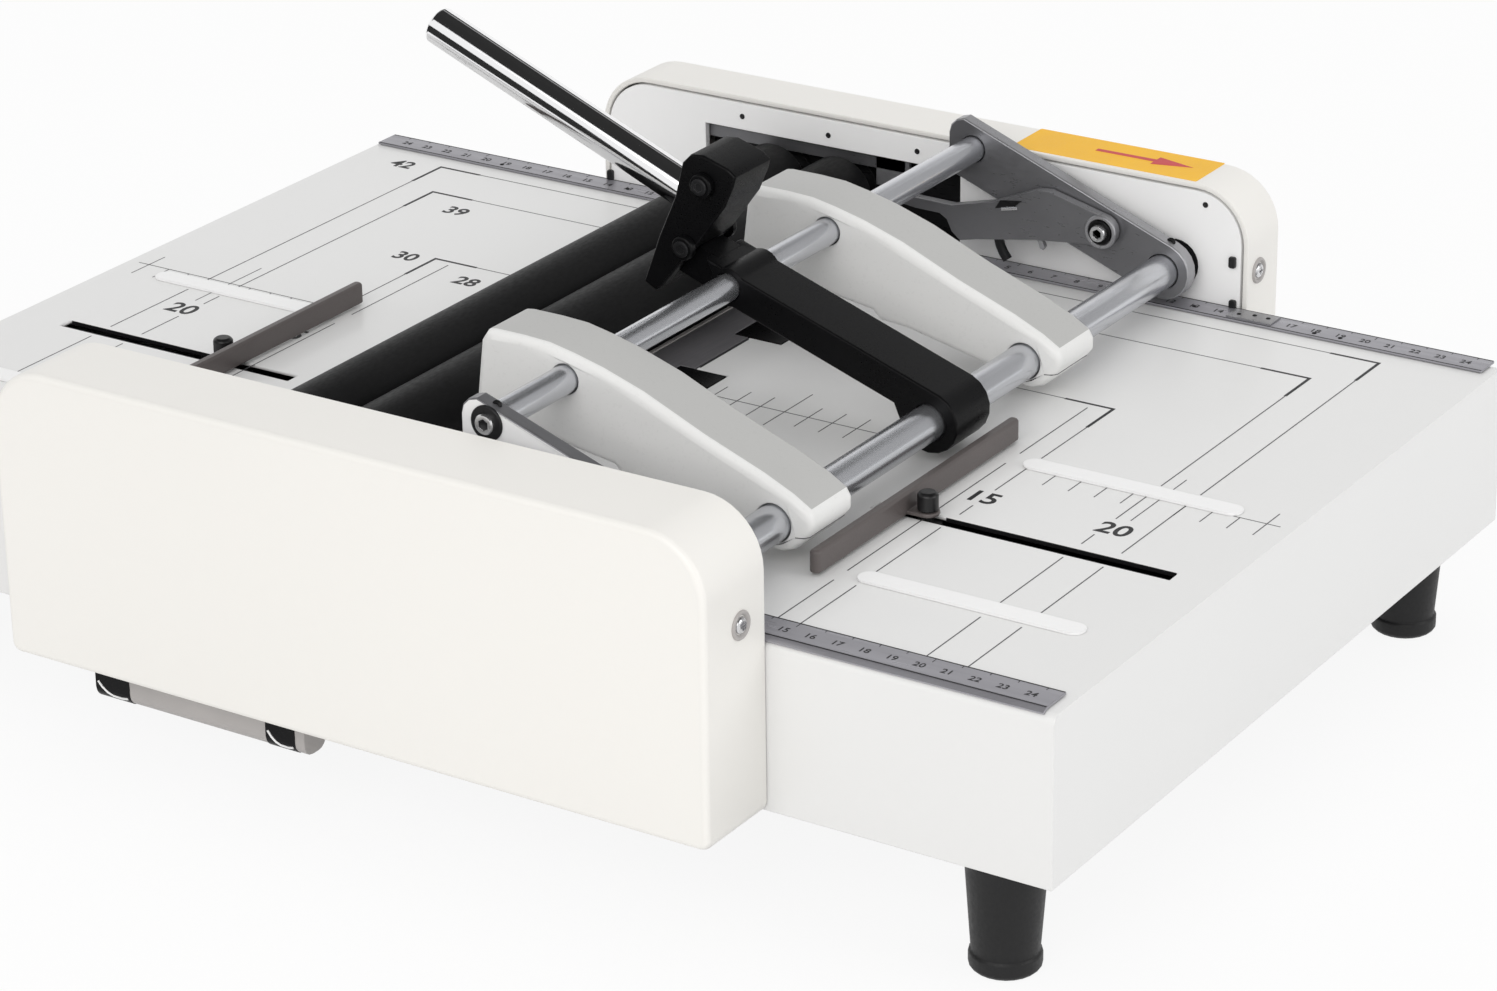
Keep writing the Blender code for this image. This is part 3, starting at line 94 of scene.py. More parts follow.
def surface(
    name, colour, roughness, metallic=0.0, tone=0.03, tone_scale=9.0, swing=0.06, grain=900.0, depth=0.00001,
    stretch=(1, 1, 1), rounding=0.0003, wear_and_highlight=None, wear_and_highlight_share=0.5, coat=0.0, speck=0.0, specular=0.5,
):
    """A procedural finish: broad tone drift, fine grain in roughness and bump, rounded edges, and an edge tone that is
    edge wear, and on the black metal also painted highlight.
    """
    material = bpy.data.materials.new(name)
    material.use_nodes = True
    tree = material.node_tree
    make, link = tree.nodes.new, tree.links.new
    shader = tree.nodes["Principled BSDF"]
    place = make("ShaderNodeTexCoord")
    mapping = make("ShaderNodeMapping")
    mapping.inputs["Scale"].default_value = stretch
    link(place.outputs["Object"], mapping.inputs["Vector"])

    def noise(scale, detail, vector=mapping.outputs["Vector"]):
        node = make("ShaderNodeTexNoise")
        node.inputs["Scale"].default_value = scale
        node.inputs["Detail"].default_value = detail
        link(vector, node.inputs["Vector"])
        return node.outputs["Fac"]

    def span(value, low, high, from_low=0.3, from_high=0.7):
        node = make("ShaderNodeMapRange")
        for key, number in (("From Min", from_low), ("From Max", from_high), ("To Min", low), ("To Max", high)):
            node.inputs[key].default_value = number
        link(value, node.inputs["Value"])
        return node.outputs["Result"]

    def mix(share, first, second):
        node = make("ShaderNodeMix")
        node.data_type = "RGBA"
        link(share, node.inputs[0])
        for index, value in ((6, first), (7, second)):
            if isinstance(value, tuple):
                node.inputs[index].default_value = (*value, 1)
            else:
                link(value, node.inputs[index])
        return node.outputs[2]

    def times(first, second):
        node = make("ShaderNodeMath")
        node.operation = "MULTIPLY"
        link(first, node.inputs[0])
        link(second, node.inputs[1])
        return node.outputs[0]

    broad = noise(tone_scale, 3.0, place.outputs["Object"])
    fine = noise(grain, 4.0)
    dark = tuple(channel * (1 - tone) for channel in colour)
    light = tuple(min(1, channel * (1 + tone)) for channel in colour)
    result = mix(span(broad, 0, 1), dark, light)
    if speck:
        flecks = span(noise(grain * FLECK_GRAIN, 1.0), 0, speck, *FLECK_NOISE)
        result = mix(flecks, result, tuple(channel * FLECK_TONE for channel in colour))
    bevel = make("ShaderNodeBevel")
    bevel.samples = BEVEL_SAMPLES
    bevel.inputs["Radius"].default_value = rounding
    # Edge tone at rounded edges, in patches: edge wear, and on the black metal also painted highlight
    if wear_and_highlight:
        edge = make("ShaderNodeVectorMath")
        edge.operation = "DOT_PRODUCT"
        facing = make("ShaderNodeNewGeometry")
        link(bevel.outputs["Normal"], edge.inputs[0])
        link(facing.outputs["Normal"], edge.inputs[1])
        edge_wear_and_highlight = span(edge.outputs["Value"], wear_and_highlight_share, 0, *WEAR_AND_HIGHLIGHT_EDGE)
        patches = span(noise(WEAR_AND_HIGHLIGHT_SCALE, 3.0, place.outputs["Object"]), 0, 1, *WEAR_AND_HIGHLIGHT_NOISE)
        result = mix(times(edge_wear_and_highlight, patches), result, wear_and_highlight)
    link(result, shader.inputs["Base Color"])
    rough = make("ShaderNodeMath")
    rough.operation = "ADD"
    link(span(fine, roughness - swing, roughness + swing), rough.inputs[0])
    link(span(broad, -swing / 2, swing / 2), rough.inputs[1])
    link(rough.outputs[0], shader.inputs["Roughness"])
    bump = make("ShaderNodeBump")
    bump.inputs["Strength"].default_value = 1.0
    bump.inputs["Distance"].default_value = depth
    link(fine, bump.inputs["Height"])
    link(bevel.outputs["Normal"], bump.inputs["Normal"])
    link(bump.outputs["Normal"], shader.inputs["Normal"])
    socket(shader, "Metallic", metallic)
    socket(shader, "Specular IOR Level", specular)
    socket(shader, "Coat Weight", coat)
    socket(shader, "Coat Roughness", COAT_ROUGHNESS)
    return material


COVER = surface(
    "cover_finish", (0.87, 0.855, 0.82), 0.42, tone=0.012, tone_scale=4, grain=1400, depth=0.000006,
    wear_and_highlight=(0.80, 0.78, 0.73), wear_and_highlight_share=0.35,
)
TABLE = surface(
    "table_finish", (0.80, 0.80, 0.795), 0.36, tone=0.012, tone_scale=5, grain=1600, depth=0.000004,
    wear_and_highlight=(0.70, 0.70, 0.69), wear_and_highlight_share=0.35, coat=0.15,
)
GLIDE = surface("glide_finish", (0.93, 0.93, 0.93), 0.4, tone=0.01, grain=1500, depth=0.000002, swing=0.04)
INNER_PLATE = surface("inner_plate_finish", (0.97, 0.97, 0.97), 0.4, tone=0.012, grain=1400, depth=0.000005)
RAIL = surface(
    "rail_finish", (0.36, 0.355, 0.385), 0.34, 0.5, tone=0.06, tone_scale=30, grain=500, depth=0.000006,
    stretch=(0.05, 1, 1), wear_and_highlight=(0.62, 0.60, 0.62), swing=0.08,
)
LIP = surface("lip_finish", (0.72, 0.66, 0.62), 0.3, 0.3, tone=0.04, grain=600, stretch=(0.05, 1, 1), depth=0.000005)
STEEL = surface(
    "steel_finish", (0.42, 0.42, 0.43), 0.33, 0.85, tone=0.06, tone_scale=25, grain=700, stretch=(1, 0.04, 1),
    depth=0.000006, swing=0.1, wear_and_highlight=(0.62, 0.62, 0.63),
)
SHAFT = surface(
    "shaft_finish", (0.62, 0.63, 0.66), 0.24, 0.9, tone=0.025, tone_scale=18, grain=1500, depth=0.0000005,
    stretch=(1, 0.1, 1), swing=0.02,
)
DARK_STEEL = surface(
    "dark_steel_finish", (0.19, 0.19, 0.20), 0.36, 0.6, tone=0.1, tone_scale=30, depth=0.000006,
    stretch=(0.3, 1, 1), swing=0.08, wear_and_highlight=(0.42, 0.42, 0.44), wear_and_highlight_share=0.6,
)
# Dark oiled steel, also used for the painted shade in the fence slots
OILED_STEEL_AND_PAINTED_SHADE = surface(
    "oiled_steel_and_painted_shade_finish", (0.014, 0.014, 0.015), 0.34, 0.2, tone=0.2, tone_scale=30, depth=0.000006,
    stretch=(0.3, 1, 1), swing=0.08, wear_and_highlight=(0.12, 0.12, 0.125), specular=0.2,
)
# Mid-grey steel; on the rear link and the latch lever it stays on the rims and flanges as painted highlight
EDGE_STEEL = surface(
    "edge_steel_finish", (0.36, 0.36, 0.375), 0.34, 0.7, tone=0.07, tone_scale=40, depth=0.000006, swing=0.08,
)
# Painted highlight: pale steel for the bright reflection on the front link's front face and for the pale arcs on the
# front bar's black bands
PAINTED_HIGHLIGHT_STEEL = surface(
    "painted_highlight_steel_finish", (0.88, 0.88, 0.885), 0.4, 0.2, tone_scale=30, grain=1500, depth=0.000003, swing=0.05,
)
CHROME = surface(
    "chrome_finish", (0.86, 0.86, 0.87), 0.06, 1.0, tone=0.015, grain=500, depth=0.000001, stretch=(0.05, 1, 1),
    swing=0.02,
)
# Black metal: its lighter edge tone is painted highlight along the edges as well as wear
BLACK_METAL = surface(
    "black_metal_finish", (0.004, 0.004, 0.0045), 0.34, tone=0.2, tone_scale=40, grain=1500, depth=0.000008,
    wear_and_highlight=(0.06, 0.06, 0.063), swing=0.08, specular=0.12,
)
STAPLER = surface(
    "stapler_finish", (0.82, 0.82, 0.81), 0.42, tone=0.02, tone_scale=12, grain=1300, wear_and_highlight=(0.84, 0.84, 0.83),
    wear_and_highlight_share=0.4, speck=0.1,
)
# Painted shade: a darker copy of the stapler colour for the housing faces turned up, which catch less light than the
# sides; the plastic is one colour
STAPLER_PAINTED_SHADE_TOP = surface(
    "stapler_top_painted_shade_finish", (0.50, 0.50, 0.49), 0.42, tone=0.02, tone_scale=12, grain=1300, speck=0.1,
)
FENCE = surface(
    "fence_finish", (0.115, 0.10, 0.097), 0.38, 0.15, tone=0.08, tone_scale=25, grain=1200, wear_and_highlight=(0.30, 0.27, 0.25),
    wear_and_highlight_share=0.6,
)
# Black rubber of the rollers, also used for the painted shadow under the cross rod on the guide plate
RUBBER_AND_PAINTED_SHADOW = surface(
    "roller_rubber_and_painted_shadow_finish", (0.006, 0.006, 0.0065), 0.5, tone=0.15, tone_scale=18, depth=0.00002,
    stretch=(1, 0.4, 1), specular=0.15,
)
FOOT = surface(
    "foot_rubber_finish", (0.006, 0.006, 0.0065), 0.5, tone=0.2, tone_scale=50, grain=700, depth=0.00004,
    wear_and_highlight=(0.05, 0.05, 0.05), wear_and_highlight_share=0.6, specular=0.35,
)
PLASTIC = surface(
    "black_plastic_finish", (0.009, 0.009, 0.0095), 0.34, tone=0.15, tone_scale=40, grain=1500, depth=0.00002,
    wear_and_highlight=(0.08, 0.08, 0.08), specular=0.4,
)
BRASS = surface("brass_finish", (0.55, 0.38, 0.16), 0.3, 1.0, tone=0.1, tone_scale=40, wear_and_highlight=(0.7, 0.55, 0.3))
GREY_PLASTIC = surface(
    "bar_finish", (0.42, 0.40, 0.39), 0.42, tone=0.05, tone_scale=30, grain=1300, depth=0.00002,
    wear_and_highlight=(0.66, 0.64, 0.63), wear_and_highlight_share=0.6,
)
GUIDE = surface(
    "guide_plate_finish", (0.17, 0.165, 0.175), 0.42, 0.25, tone=0.08, tone_scale=25, grain=800, depth=0.000006,
    stretch=(1, 0.1, 1), wear_and_highlight=(0.40, 0.40, 0.41),
)
# Black ink for the print, also used for the painted shade along the rail edges
INK_AND_PAINTED_SHADE = surface("ink_and_painted_shade_finish", (0.018, 0.018, 0.02), 0.5, tone=0.2, tone_scale=200, grain=2500, rounding=0.00001)
GREY_INK = surface("grey_ink_finish", (0.09, 0.09, 0.095), 0.5, tone=0.2, tone_scale=200, grain=2500, rounding=0.00001)
BRIGHT = surface(
    "bright_steel_finish", (0.66, 0.66, 0.67), 0.22, 0.95, tone=0.05, tone_scale=80, grain=1500, depth=0.000008,
    wear_and_highlight=(0.8, 0.8, 0.8), rounding=0.0002,
)
STICKER = surface(
    "sticker_finish", (0.98, 0.53, 0.012), 0.5, tone=0.05, tone_scale=35, grain=1500, rounding=0.0001,
)
ARROW = surface("arrow_finish", (0.62, 0.055, 0.065), 0.5, tone=0.08, tone_scale=60, grain=1500, rounding=0.00005)

FINISHES = {
    "table_paint": TABLE, "cover_paint": COVER, "rail_metal": RAIL, "steel": STEEL, "dark_steel": DARK_STEEL,
    "chrome": CHROME, "black_metal": BLACK_METAL, "stapler_plastic": STAPLER, "fence_paint": FENCE,
    "black_rubber": RUBBER_AND_PAINTED_SHADOW, "black_plastic": PLASTIC, "brass": BRASS, "grey_plastic": GREY_PLASTIC,
}
OWN_FINISHES = {
    "front_frame_plate": INNER_PLATE, "rear_frame_plate": INNER_PLATE, "main_shaft": SHAFT, "cross_rod": SHAFT,
    "foot_front_left": FOOT, "foot_front_right": FOOT, "foot_rear_left": FOOT, "foot_rear_right": FOOT,
    "guide_plate": GUIDE, "bracket_bolt_upper": BLACK_METAL, "bracket_bolt_lower": BLACK_METAL,
    "bearing_bracket": OILED_STEEL_AND_PAINTED_SHADE, "roller_bearing_rear_left": OILED_STEEL_AND_PAINTED_SHADE, "roller_bearing_rear_right": OILED_STEEL_AND_PAINTED_SHADE,
    "front_link": DARK_STEEL, "rear_link": EDGE_STEEL, "latch_lever": EDGE_STEEL, "anvil_beam": OILED_STEEL_AND_PAINTED_SHADE,
    "shaft_bushing_rear": OILED_STEEL_AND_PAINTED_SHADE,
}
SLOTS = {row["node"]: row["material_slot"] for row in frame["record"]["subparts"]}
BODIES = {node: body for body, nodes in frame["record"]["behaviour"]["bodies"].items() for node in nodes}
for node_name, slot_name in SLOTS.items():
    node = frame["nodes"][node_name]
    node.data.materials.clear()
    node.data.materials.append(OWN_FINISHES.get(node_name, FINISHES[slot_name]))

# Edge rounding of the nodes that show
SKIN_EDGES = {
    "front_cover": 0.0006, "rear_cover": 0.0006, "left_table": 0.0005, "right_table": 0.0005, "front_rail": 0.0002,
    "rear_rail": 0.0002, "front_frame_plate": 0.0003, "rear_frame_plate": 0.0003, "bearing_bracket": 0.0003,
    "guide_plate": 0.0002, "anvil_beam": 0.0003, "anvil_front": 0.0002, "anvil_middle": 0.0002, "anvil_rear": 0.0002,
    "left_roller": 0.0008, "right_roller": 0.0008, "left_roller_shaft": 0.0004, "right_roller_shaft": 0.0004,
    "roller_bearing_rear_left": 0.0003, "roller_bearing_rear_right": 0.0003, "main_shaft": 0.0005, "cross_rod": 0.0005,
    "front_stapler_housing": 0.0008, "rear_stapler_housing": 0.0008, "front_staple_magazine": 0.0004,
    "rear_staple_magazine": 0.0004, "front_link": 0.0004, "rear_link": 0.0004, "latch_lever": 0.0004,
    "press_arm": 0.0003, "handle_bracket": 0.0003, "handle_tube": 0.0005, "bracket_bolt_upper": 0.0004,
    "bracket_bolt_lower": 0.0004, "left_fence": 0.0005, "right_fence": 0.0005, "left_fence_screw": 0.0004,
    "right_fence_screw": 0.0004, "front_bar": 0.0004, "power_inlet": 0.0003, "switch_rocker": 0.0003,
    "foot_front_left": 0.0006, "foot_front_right": 0.0006, "foot_rear_left": 0.0006, "foot_rear_right": 0.0006,
}
KEPT_FACETS = ("front_stapler_housing", "rear_stapler_housing", "front_link")

# Faces of another finish: those whose normal has more than a limit along a direction. On the stapler housings, the
# links and the latch lever these faces paint light and shade on one material.
FRONT, REAR, UP = (0, -1, 0), (0, 1, 0), (0, 0, 1)
SIDE_LIMIT, LIP_LIMIT, TOP_LIMIT, CHAMFER_LIMIT = 0.95, 0.9, 0.55, 0.3
# Painted shade on the stapler housings: faces turned up take the darker copy, front chamfers keep the pale side colour
HOUSING_PAINTED_SHADE_FACINGS = [(UP, TOP_LIMIT, STAPLER_PAINTED_SHADE_TOP), (FRONT, CHAMFER_LIMIT, STAPLER)]
# Painted highlight on the rear link and the latch lever: their front and back faces take the dark steel, leaving rims
# and flanges in the lighter steel
LEVER_PAINTED_HIGHLIGHT_FACINGS = [(FRONT, SIDE_LIMIT, DARK_STEEL), (REAR, SIDE_LIMIT, DARK_STEEL)]
FACINGS = {
    "front_stapler_housing": HOUSING_PAINTED_SHADE_FACINGS, "rear_stapler_housing": HOUSING_PAINTED_SHADE_FACINGS,
    # The front link is dark steel; its front face takes the pale steel as painted reflection
    "front_link": [(FRONT, SIDE_LIMIT, PAINTED_HIGHLIGHT_STEEL)], "rear_link": LEVER_PAINTED_HIGHLIGHT_FACINGS, "latch_lever": LEVER_PAINTED_HIGHLIGHT_FACINGS,
    "front_rail": [(FRONT, LIP_LIMIT, LIP)],
}


def add_object(name, data):
    """A new object in the scene."""
    obj = bpy.data.objects.new(name, data)
    bpy.context.scene.collection.objects.link(obj)
    return obj


def even_shade(obj, sharp):
    """Smooth shading that keeps flat faces flat and sharp edges sharp."""
    obj.data.shade_smooth()
    obj.data.set_sharp_from_angle(angle=math.radians(sharp))
    shade = obj.modifiers.new("even_shade", "WEIGHTED_NORMAL")
    shade.keep_sharp = True


def skin(node_name, edge):
    """A copy of a CAD node with rounded edges and smooth curves, which stands for the node."""
    shape = bmesh.new()
    shape.from_mesh(frame["nodes"][node_name].data)
    bmesh.ops.remove_doubles(shape, verts=shape.verts, dist=WELD)
    if node_name not in KEPT_FACETS:
        bmesh.ops.dissolve_limit(shape, angle_limit=math.radians(FLAT_ANGLE), verts=shape.verts, edges=shape.edges)
        bmesh.ops.connect_verts_concave(shape, faces=shape.faces)
    crisp = [
        item for item in shape.edges
        if item.is_manifold and item.is_convex and item.calc_face_angle() > math.radians(CRISP_ANGLE)
    ]
    facings = FACINGS.get(node_name, [])
    for face in shape.faces:
        for index, (direction, limit, finish) in enumerate(facings):
            if face.normal.dot(Vector(direction)) > limit:
                face.material_index = index + 1
    bmesh.ops.bevel(shape, geom=crisp, offset=edge, segments=2, profile=0.5, affect="EDGES", material=-1)
    mesh = bpy.data.meshes.new(node_name + "_skin")
    shape.to_mesh(mesh)
    shape.free()
    mesh.materials.append(OWN_FINISHES.get(node_name, FINISHES[SLOTS[node_name]]))
    for direction, limit, finish in facings:
        mesh.materials.append(finish)
    obj = add_object(node_name + "_skin", mesh)
    even_shade(obj, SKIN_SHARP)
    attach(obj, BODIES[node_name])
    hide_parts(node_name)


for skin_name, skin_edge in SKIN_EDGES.items():
    skin(skin_name, skin_edge)


def piece(name, shape, material, body):
    """A finished object from a bmesh, riding on a body."""
    bmesh.ops.recalc_face_normals(shape, faces=shape.faces)
    mesh = bpy.data.meshes.new(name)
    shape.to_mesh(mesh)
    shape.free()
    mesh.materials.append(material)
    obj = add_object(name, mesh)
    even_shade(obj, PIECE_SHARP)
    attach(obj, body)


def add_prism(shape, outline, axis, start, end, edge=0.0):
    """An outline carried along an axis, with rounded rims."""
    places = {
        "X": lambda a, b, along: (along, a, b),
        "Y": lambda a, b, along: (a, along, b),
        "Z": lambda a, b, along: (a, b, along),
    }
    lower = [shape.verts.new(places[axis](a, b, start)) for a, b in outline]
    upper = [shape.verts.new(places[axis](a, b, end)) for a, b in outline]
    faces = [shape.faces.new(lower), shape.faces.new(upper)]
    rims = list(faces[0].edges) + list(faces[1].edges)
    for index in range(len(outline)):
        after = (index + 1) % len(outline)
        faces.append(shape.faces.new((lower[index], lower[after], upper[after], upper[index])))
    if edge:
        bmesh.ops.bevel(shape, geom=rims, offset=edge, segments=2, profile=0.5, affect="EDGES", clamp_overlap=True)


def add_box(shape, low, high, edge=0.0):
    """A box between two corners, with its rims rounded above and below."""
    outline = [(low[0], low[1]), (high[0], low[1]), (high[0], high[1]), (low[0], high[1])]
    add_prism(shape, outline, "Z", low[2], high[2], edge)


def turned_to(centre, direction):
    """The placing that carries the origin to a centre and +Z to a direction."""
    turn = Vector((0, 0, 1)).rotation_difference(Vector(direction)).to_matrix().to_4x4()
    return Matrix.Translation(centre) @ turn


def add_rings(shape, rings, centre, direction, sides):
    """Closed skin through rings of (radius or radius by angle, height), with a face at each end."""
    place = turned_to(centre, direction)
    loops = []
    for radius, height in rings:
        loop = []
        for step in range(sides):
            turn = math.tau * step / sides
            reach = radius(turn) if callable(radius) else radius
            loop.append(shape.verts.new(place @ Vector((reach * math.cos(turn), reach * math.sin(turn), height))))
        loops.append(loop)
    for first, second in zip(loops, loops[1:]):
        for step in range(sides):
            after = (step + 1) % sides
            shape.faces.new((first[step], first[after], second[after], second[step]))
    shape.faces.new(loops[0])
    shape.faces.new(loops[-1])


def cross_reach(arm, half):
    """The reach of a cross recess at an angle."""

    def reach(turn):
        off = abs((turn + math.pi / 4) % (math.pi / 2) - math.pi / 4)
        return min(arm / math.cos(off), half / max(math.sin(off), 0.0001))

    return reach


def hex_reach(flat):
    """The reach of a hexagon at an angle, from half its width across flats."""
    return lambda turn: flat / math.cos((turn + math.pi / 6) % (math.pi / 3) - math.pi / 6)


# Screw heads, as shares of radius and height. Each starts a little inside what it sits on.
# Further down, the size of a screw or bolt is its head's radius and height.
HEAD_SINK = 0.0002
HEAD_SIDES = 48
DOME_SHARES = ((1, 0.25), (0.93, 0.6), (0.75, 0.88), (0.6, 1))
CROSS_ARM, CROSS_HALF, CROSS_FLOOR = 0.55, 0.13, 0.35
SOCKET_SHARES = ((1, 0.8), (0.9, 1), (0.62, 1))
HEX_FLAT, HEX_MOUTH, HEX_FLOOR = 0.5, 0.97, 0.3


def add_head(shape, centre, direction, radius, height, shares, hole, mouth, floor):
    """A screw head through shares of its radius and height, with a hole from its mouth to its floor."""
    rings = [(radius, -HEAD_SINK)] + [(radius * across, height * up) for across, up in shares]
    rings += [(hole, height * mouth), (hole, height * floor)]
    add_rings(shape, rings, centre, direction, HEAD_SIDES)


def add_screw(shape, centre, direction, radius, height):
    """A domed screw head with a cross recess."""
    recess = cross_reach(radius * CROSS_ARM, radius * CROSS_HALF)
    add_head(shape, centre, direction, radius, height, DOME_SHARES, recess, 1, CROSS_FLOOR)


def add_socket_head(shape, centre, direction, radius, height):
    """A socket head with a hexagonal hole."""
    hole = hex_reach(radius * HEX_FLAT)
    add_head(shape, centre, direction, radius, height, SOCKET_SHARES, hole, HEX_MOUTH, HEX_FLOOR)


def add_tube(shape, points, radius, sides):
    """A round wire along points, with closed ends."""
    points = [Vector(point) for point in points]
    loops = []
    side = None
    for index, point in enumerate(points):
        ahead = points[min(index + 1, len(points) - 1)] - points[max(index - 1, 0)]
        ahead.normalize()
        side = ahead.orthogonal() if side is None else side - side.dot(ahead) * ahead
        side.normalize()
        other = ahead.cross(side)
        loop = []
        for step in range(sides):
            turn = math.tau * step / sides
            loop.append(shape.verts.new(point + radius * (math.cos(turn) * side + math.sin(turn) * other)))
        loops.append(loop)
    for first, second in zip(loops, loops[1:]):
        for step in range(sides):
            after = (step + 1) % sides
            shape.faces.new((first[step], first[after], second[after], second[step]))
    shape.faces.new(loops[0])
    shape.faces.new(loops[-1])


def stadium(low, high, radius, steps=5):
    """A box outline with round corners."""
    corners = ((low[0], low[1], 180), (high[0], low[1], 270), (high[0], high[1], 0), (low[0], high[1], 90))
    points = []
    for across, up, start in corners:
        centre = (across + (radius if across == low[0] else -radius), up + (radius if up == low[1] else -radius))
        for step in range(steps + 1):
            turn = math.radians(start + 90 * step / steps)
            points.append((centre[0] + radius * math.cos(turn), centre[1] + radius * math.sin(turn)))
    return points


# Print on the tables, measured from the sheets' front edge and the middle of the tables
TABLE_TOP = 0.100
SHEET_FRONT = -0.1465
INK_TOP = 0.00006
INK_SINK = 0.00002
THIN_LINE = 0.00045
TICK_LINE = 0.0004
THICK_LINE = 0.0012
LINE_GAP = 0.00001
CORNER_LEG = 0.0195
A4_X, A4_DEPTH = 0.1485, 0.209
LETTER_X, LETTER_DEPTH = 0.1400, 0.2055
B_SHEET_X, B_SHEET_DEPTH = 0.195, 0.2705
A3_X, A3_DEPTH = 0.210, 0.2965
CROSS_LINE_START = {"right": 0.020, "left": 0.078}
BREAKS = {
    "right": ((0.0345, 0.0430), (0.0885, 0.1010), (0.147, 0.157)),
    "left": ((0.0245, 0.0335), (0.0775, 0.0885), (0.134, 0.1445)),
}
DIGIT_BREAK = (0.1099, 0.1248)

# Rulers across the tables: their ends, the centimetres they mark and the ends of the ticks
RULER_DEPTH = 0.147
OUTER_RULER, OUTER_STEPS = (0.150, 0.245), range(16, 25)
OUTER_TICK, LONG_OUTER_TICKS = (0.137, 0.1468), {20: (0.126, 0.166), 24: (0.1365, 0.1565)}
INNER_RULER, INNER_STEPS = (0.020, 0.098), range(2, 10)
INNER_TICK, LONG_INNER_TICKS = (0.1375, 0.1565), {5: (0.133, 0.166)}

# Printed numbers: size, boldness and places
RULER_DIGIT, SHEET_DIGIT, BOLD = 0.0125, 0.0105, 0.00022
RULER_NUMBERS = (("20", 0.1988, 0.1165), ("15", 0.1480, 0.1172))
SHEET_NUMBERS = (("42", -0.2255, 0.291), ("39", -0.1735, 0.2565), ("30", -0.1600, 0.2050), ("28", -0.1235, 0.1945))


def add_mark(shape, low, high):
    """A printed bar between two corners, in the middle-and-sheet-front measure."""
    add_box(
        shape, (min(low[0], high[0]), SHEET_FRONT + low[1], TABLE_TOP - INK_SINK),
        (max(low[0], high[0]), SHEET_FRONT + high[1], TABLE_TOP + INK_TOP),
    )


def add_depth_line(shape, x, start, end, width, gaps):
    """A line away from the front, broken by the gaps."""
    edges = [start]
    for low, high in gaps:
        if start < low < end:
            edges += [low, high]
    edges.append(end)
    for low, high in zip(edges[::2], edges[1::2]):
        if high > low:
            add_mark(shape, (x - width / 2, low), (x + width / 2, high))


def digits(name, text, size, place, material, bold=BOLD):
    """Printed numbers that read from the front."""
    curve = bpy.data.curves.new(name, "FONT")
    curve.body = text
    curve.size = size
    curve.align_x = "CENTER"
    curve.align_y = "CENTER"
    curve.extrude = (INK_TOP + INK_SINK) / 2
    curve.resolution_u = 4
    curve.offset = bold
    flat = add_object(name + "_curve", curve)
    bpy.context.view_layer.update()
    mesh = bpy.data.meshes.new_from_object(flat.evaluated_get(bpy.context.evaluated_depsgraph_get()))
    bpy.data.objects.remove(flat)
    lift = (INK_TOP - INK_SINK) / 2
    mesh.transform(Matrix.Translation((place[0], place[1], place[2] + lift)))
    mesh.materials.clear()
    mesh.materials.append(material)
    mesh.name = name
    obj = add_object(name, mesh)
    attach(obj, "frame")


def add_ruler(shape, sign, ends, steps, tick, long_ticks):
    """A line across a table with a tick at each centimetre."""
    line = TICK_LINE / 2
    add_mark(shape, (sign * ends[0], RULER_DEPTH - line), (sign * ends[1], RULER_DEPTH + line))
    for step in steps:
        x = sign * step / 100
        front, back = long_ticks.get(step, tick)
        add_mark(shape, (x - line, front), (x + line, back))


def sheet_print(side):
    """The outlines of the sheets, their corner marks, the centimetre rulers and their numbers."""
    sign = 1 if side == "right" else -1
    gaps = BREAKS[side]
    thin, thick = bmesh.new(), bmesh.new()
    broken = (gaps[0], gaps[1], DIGIT_BREAK, gaps[2])
    for x, depth, corner, breaks in (
        (A4_X, A4_DEPTH, True, broken), (LETTER_X, LETTER_DEPTH, False, (gaps[0], gaps[2])),
        (B_SHEET_X, B_SHEET_DEPTH, True, broken), (A3_X, A3_DEPTH, True, gaps),
    ):
        leg = CORNER_LEG if corner else 0
        add_depth_line(thin, sign * x, 0.0, depth - leg, THIN_LINE, breaks)
        if corner:
            half, thin_half = THICK_LINE / 2, THIN_LINE / 2
            cross_start = sign * CROSS_LINE_START[side]
            add_mark(thick, (sign * (x - leg), depth - half), (sign * (x + half), depth + half))
            add_mark(thick, (sign * x - half, depth - leg), (sign * x + half, depth - half - LINE_GAP))
            add_mark(thin, (cross_start, depth - thin_half), (sign * (x - leg), depth + thin_half))
    add_ruler(thin, sign, OUTER_RULER, OUTER_STEPS, OUTER_TICK, LONG_OUTER_TICKS)
    if side == "right":
        add_ruler(thin, sign, INNER_RULER, INNER_STEPS, INNER_TICK, LONG_INNER_TICKS)
    piece(f"{side}_thin_print", thin, GREY_INK, "frame")
    piece(f"{side}_corner_print", thick, INK_AND_PAINTED_SHADE, "frame")
    for number, x, depth in RULER_NUMBERS:
        digits(f"{side}_print_{number}", number, RULER_DIGIT, (sign * x, SHEET_FRONT + depth, TABLE_TOP), INK_AND_PAINTED_SHADE)


for table_side in ("right", "left"):
    sheet_print(table_side)
for number, x, depth in SHEET_NUMBERS:
    digits("left_print_" + number, number, SHEET_DIGIT, (x, SHEET_FRONT + depth, TABLE_TOP), INK_AND_PAINTED_SHADE)

# Print on the scale rails, and painted shade along their edges
RAIL_LIP = 0.0022
GAP_SHADE_LINE, GAP_SHADE_LINE_END = 0.0005, 0.0003
RAIL_TICK, LONG_RAIL_TICK, RAIL_TICK_HALF, RAIL_TICK_END = 0.0018, 0.003, 0.00012, 0.0004
RAIL_DIGIT, RAIL_BOLD = 0.0042, 0.00005
RAIL_DIGIT_SHIFT = (0.0025, 0.0006)


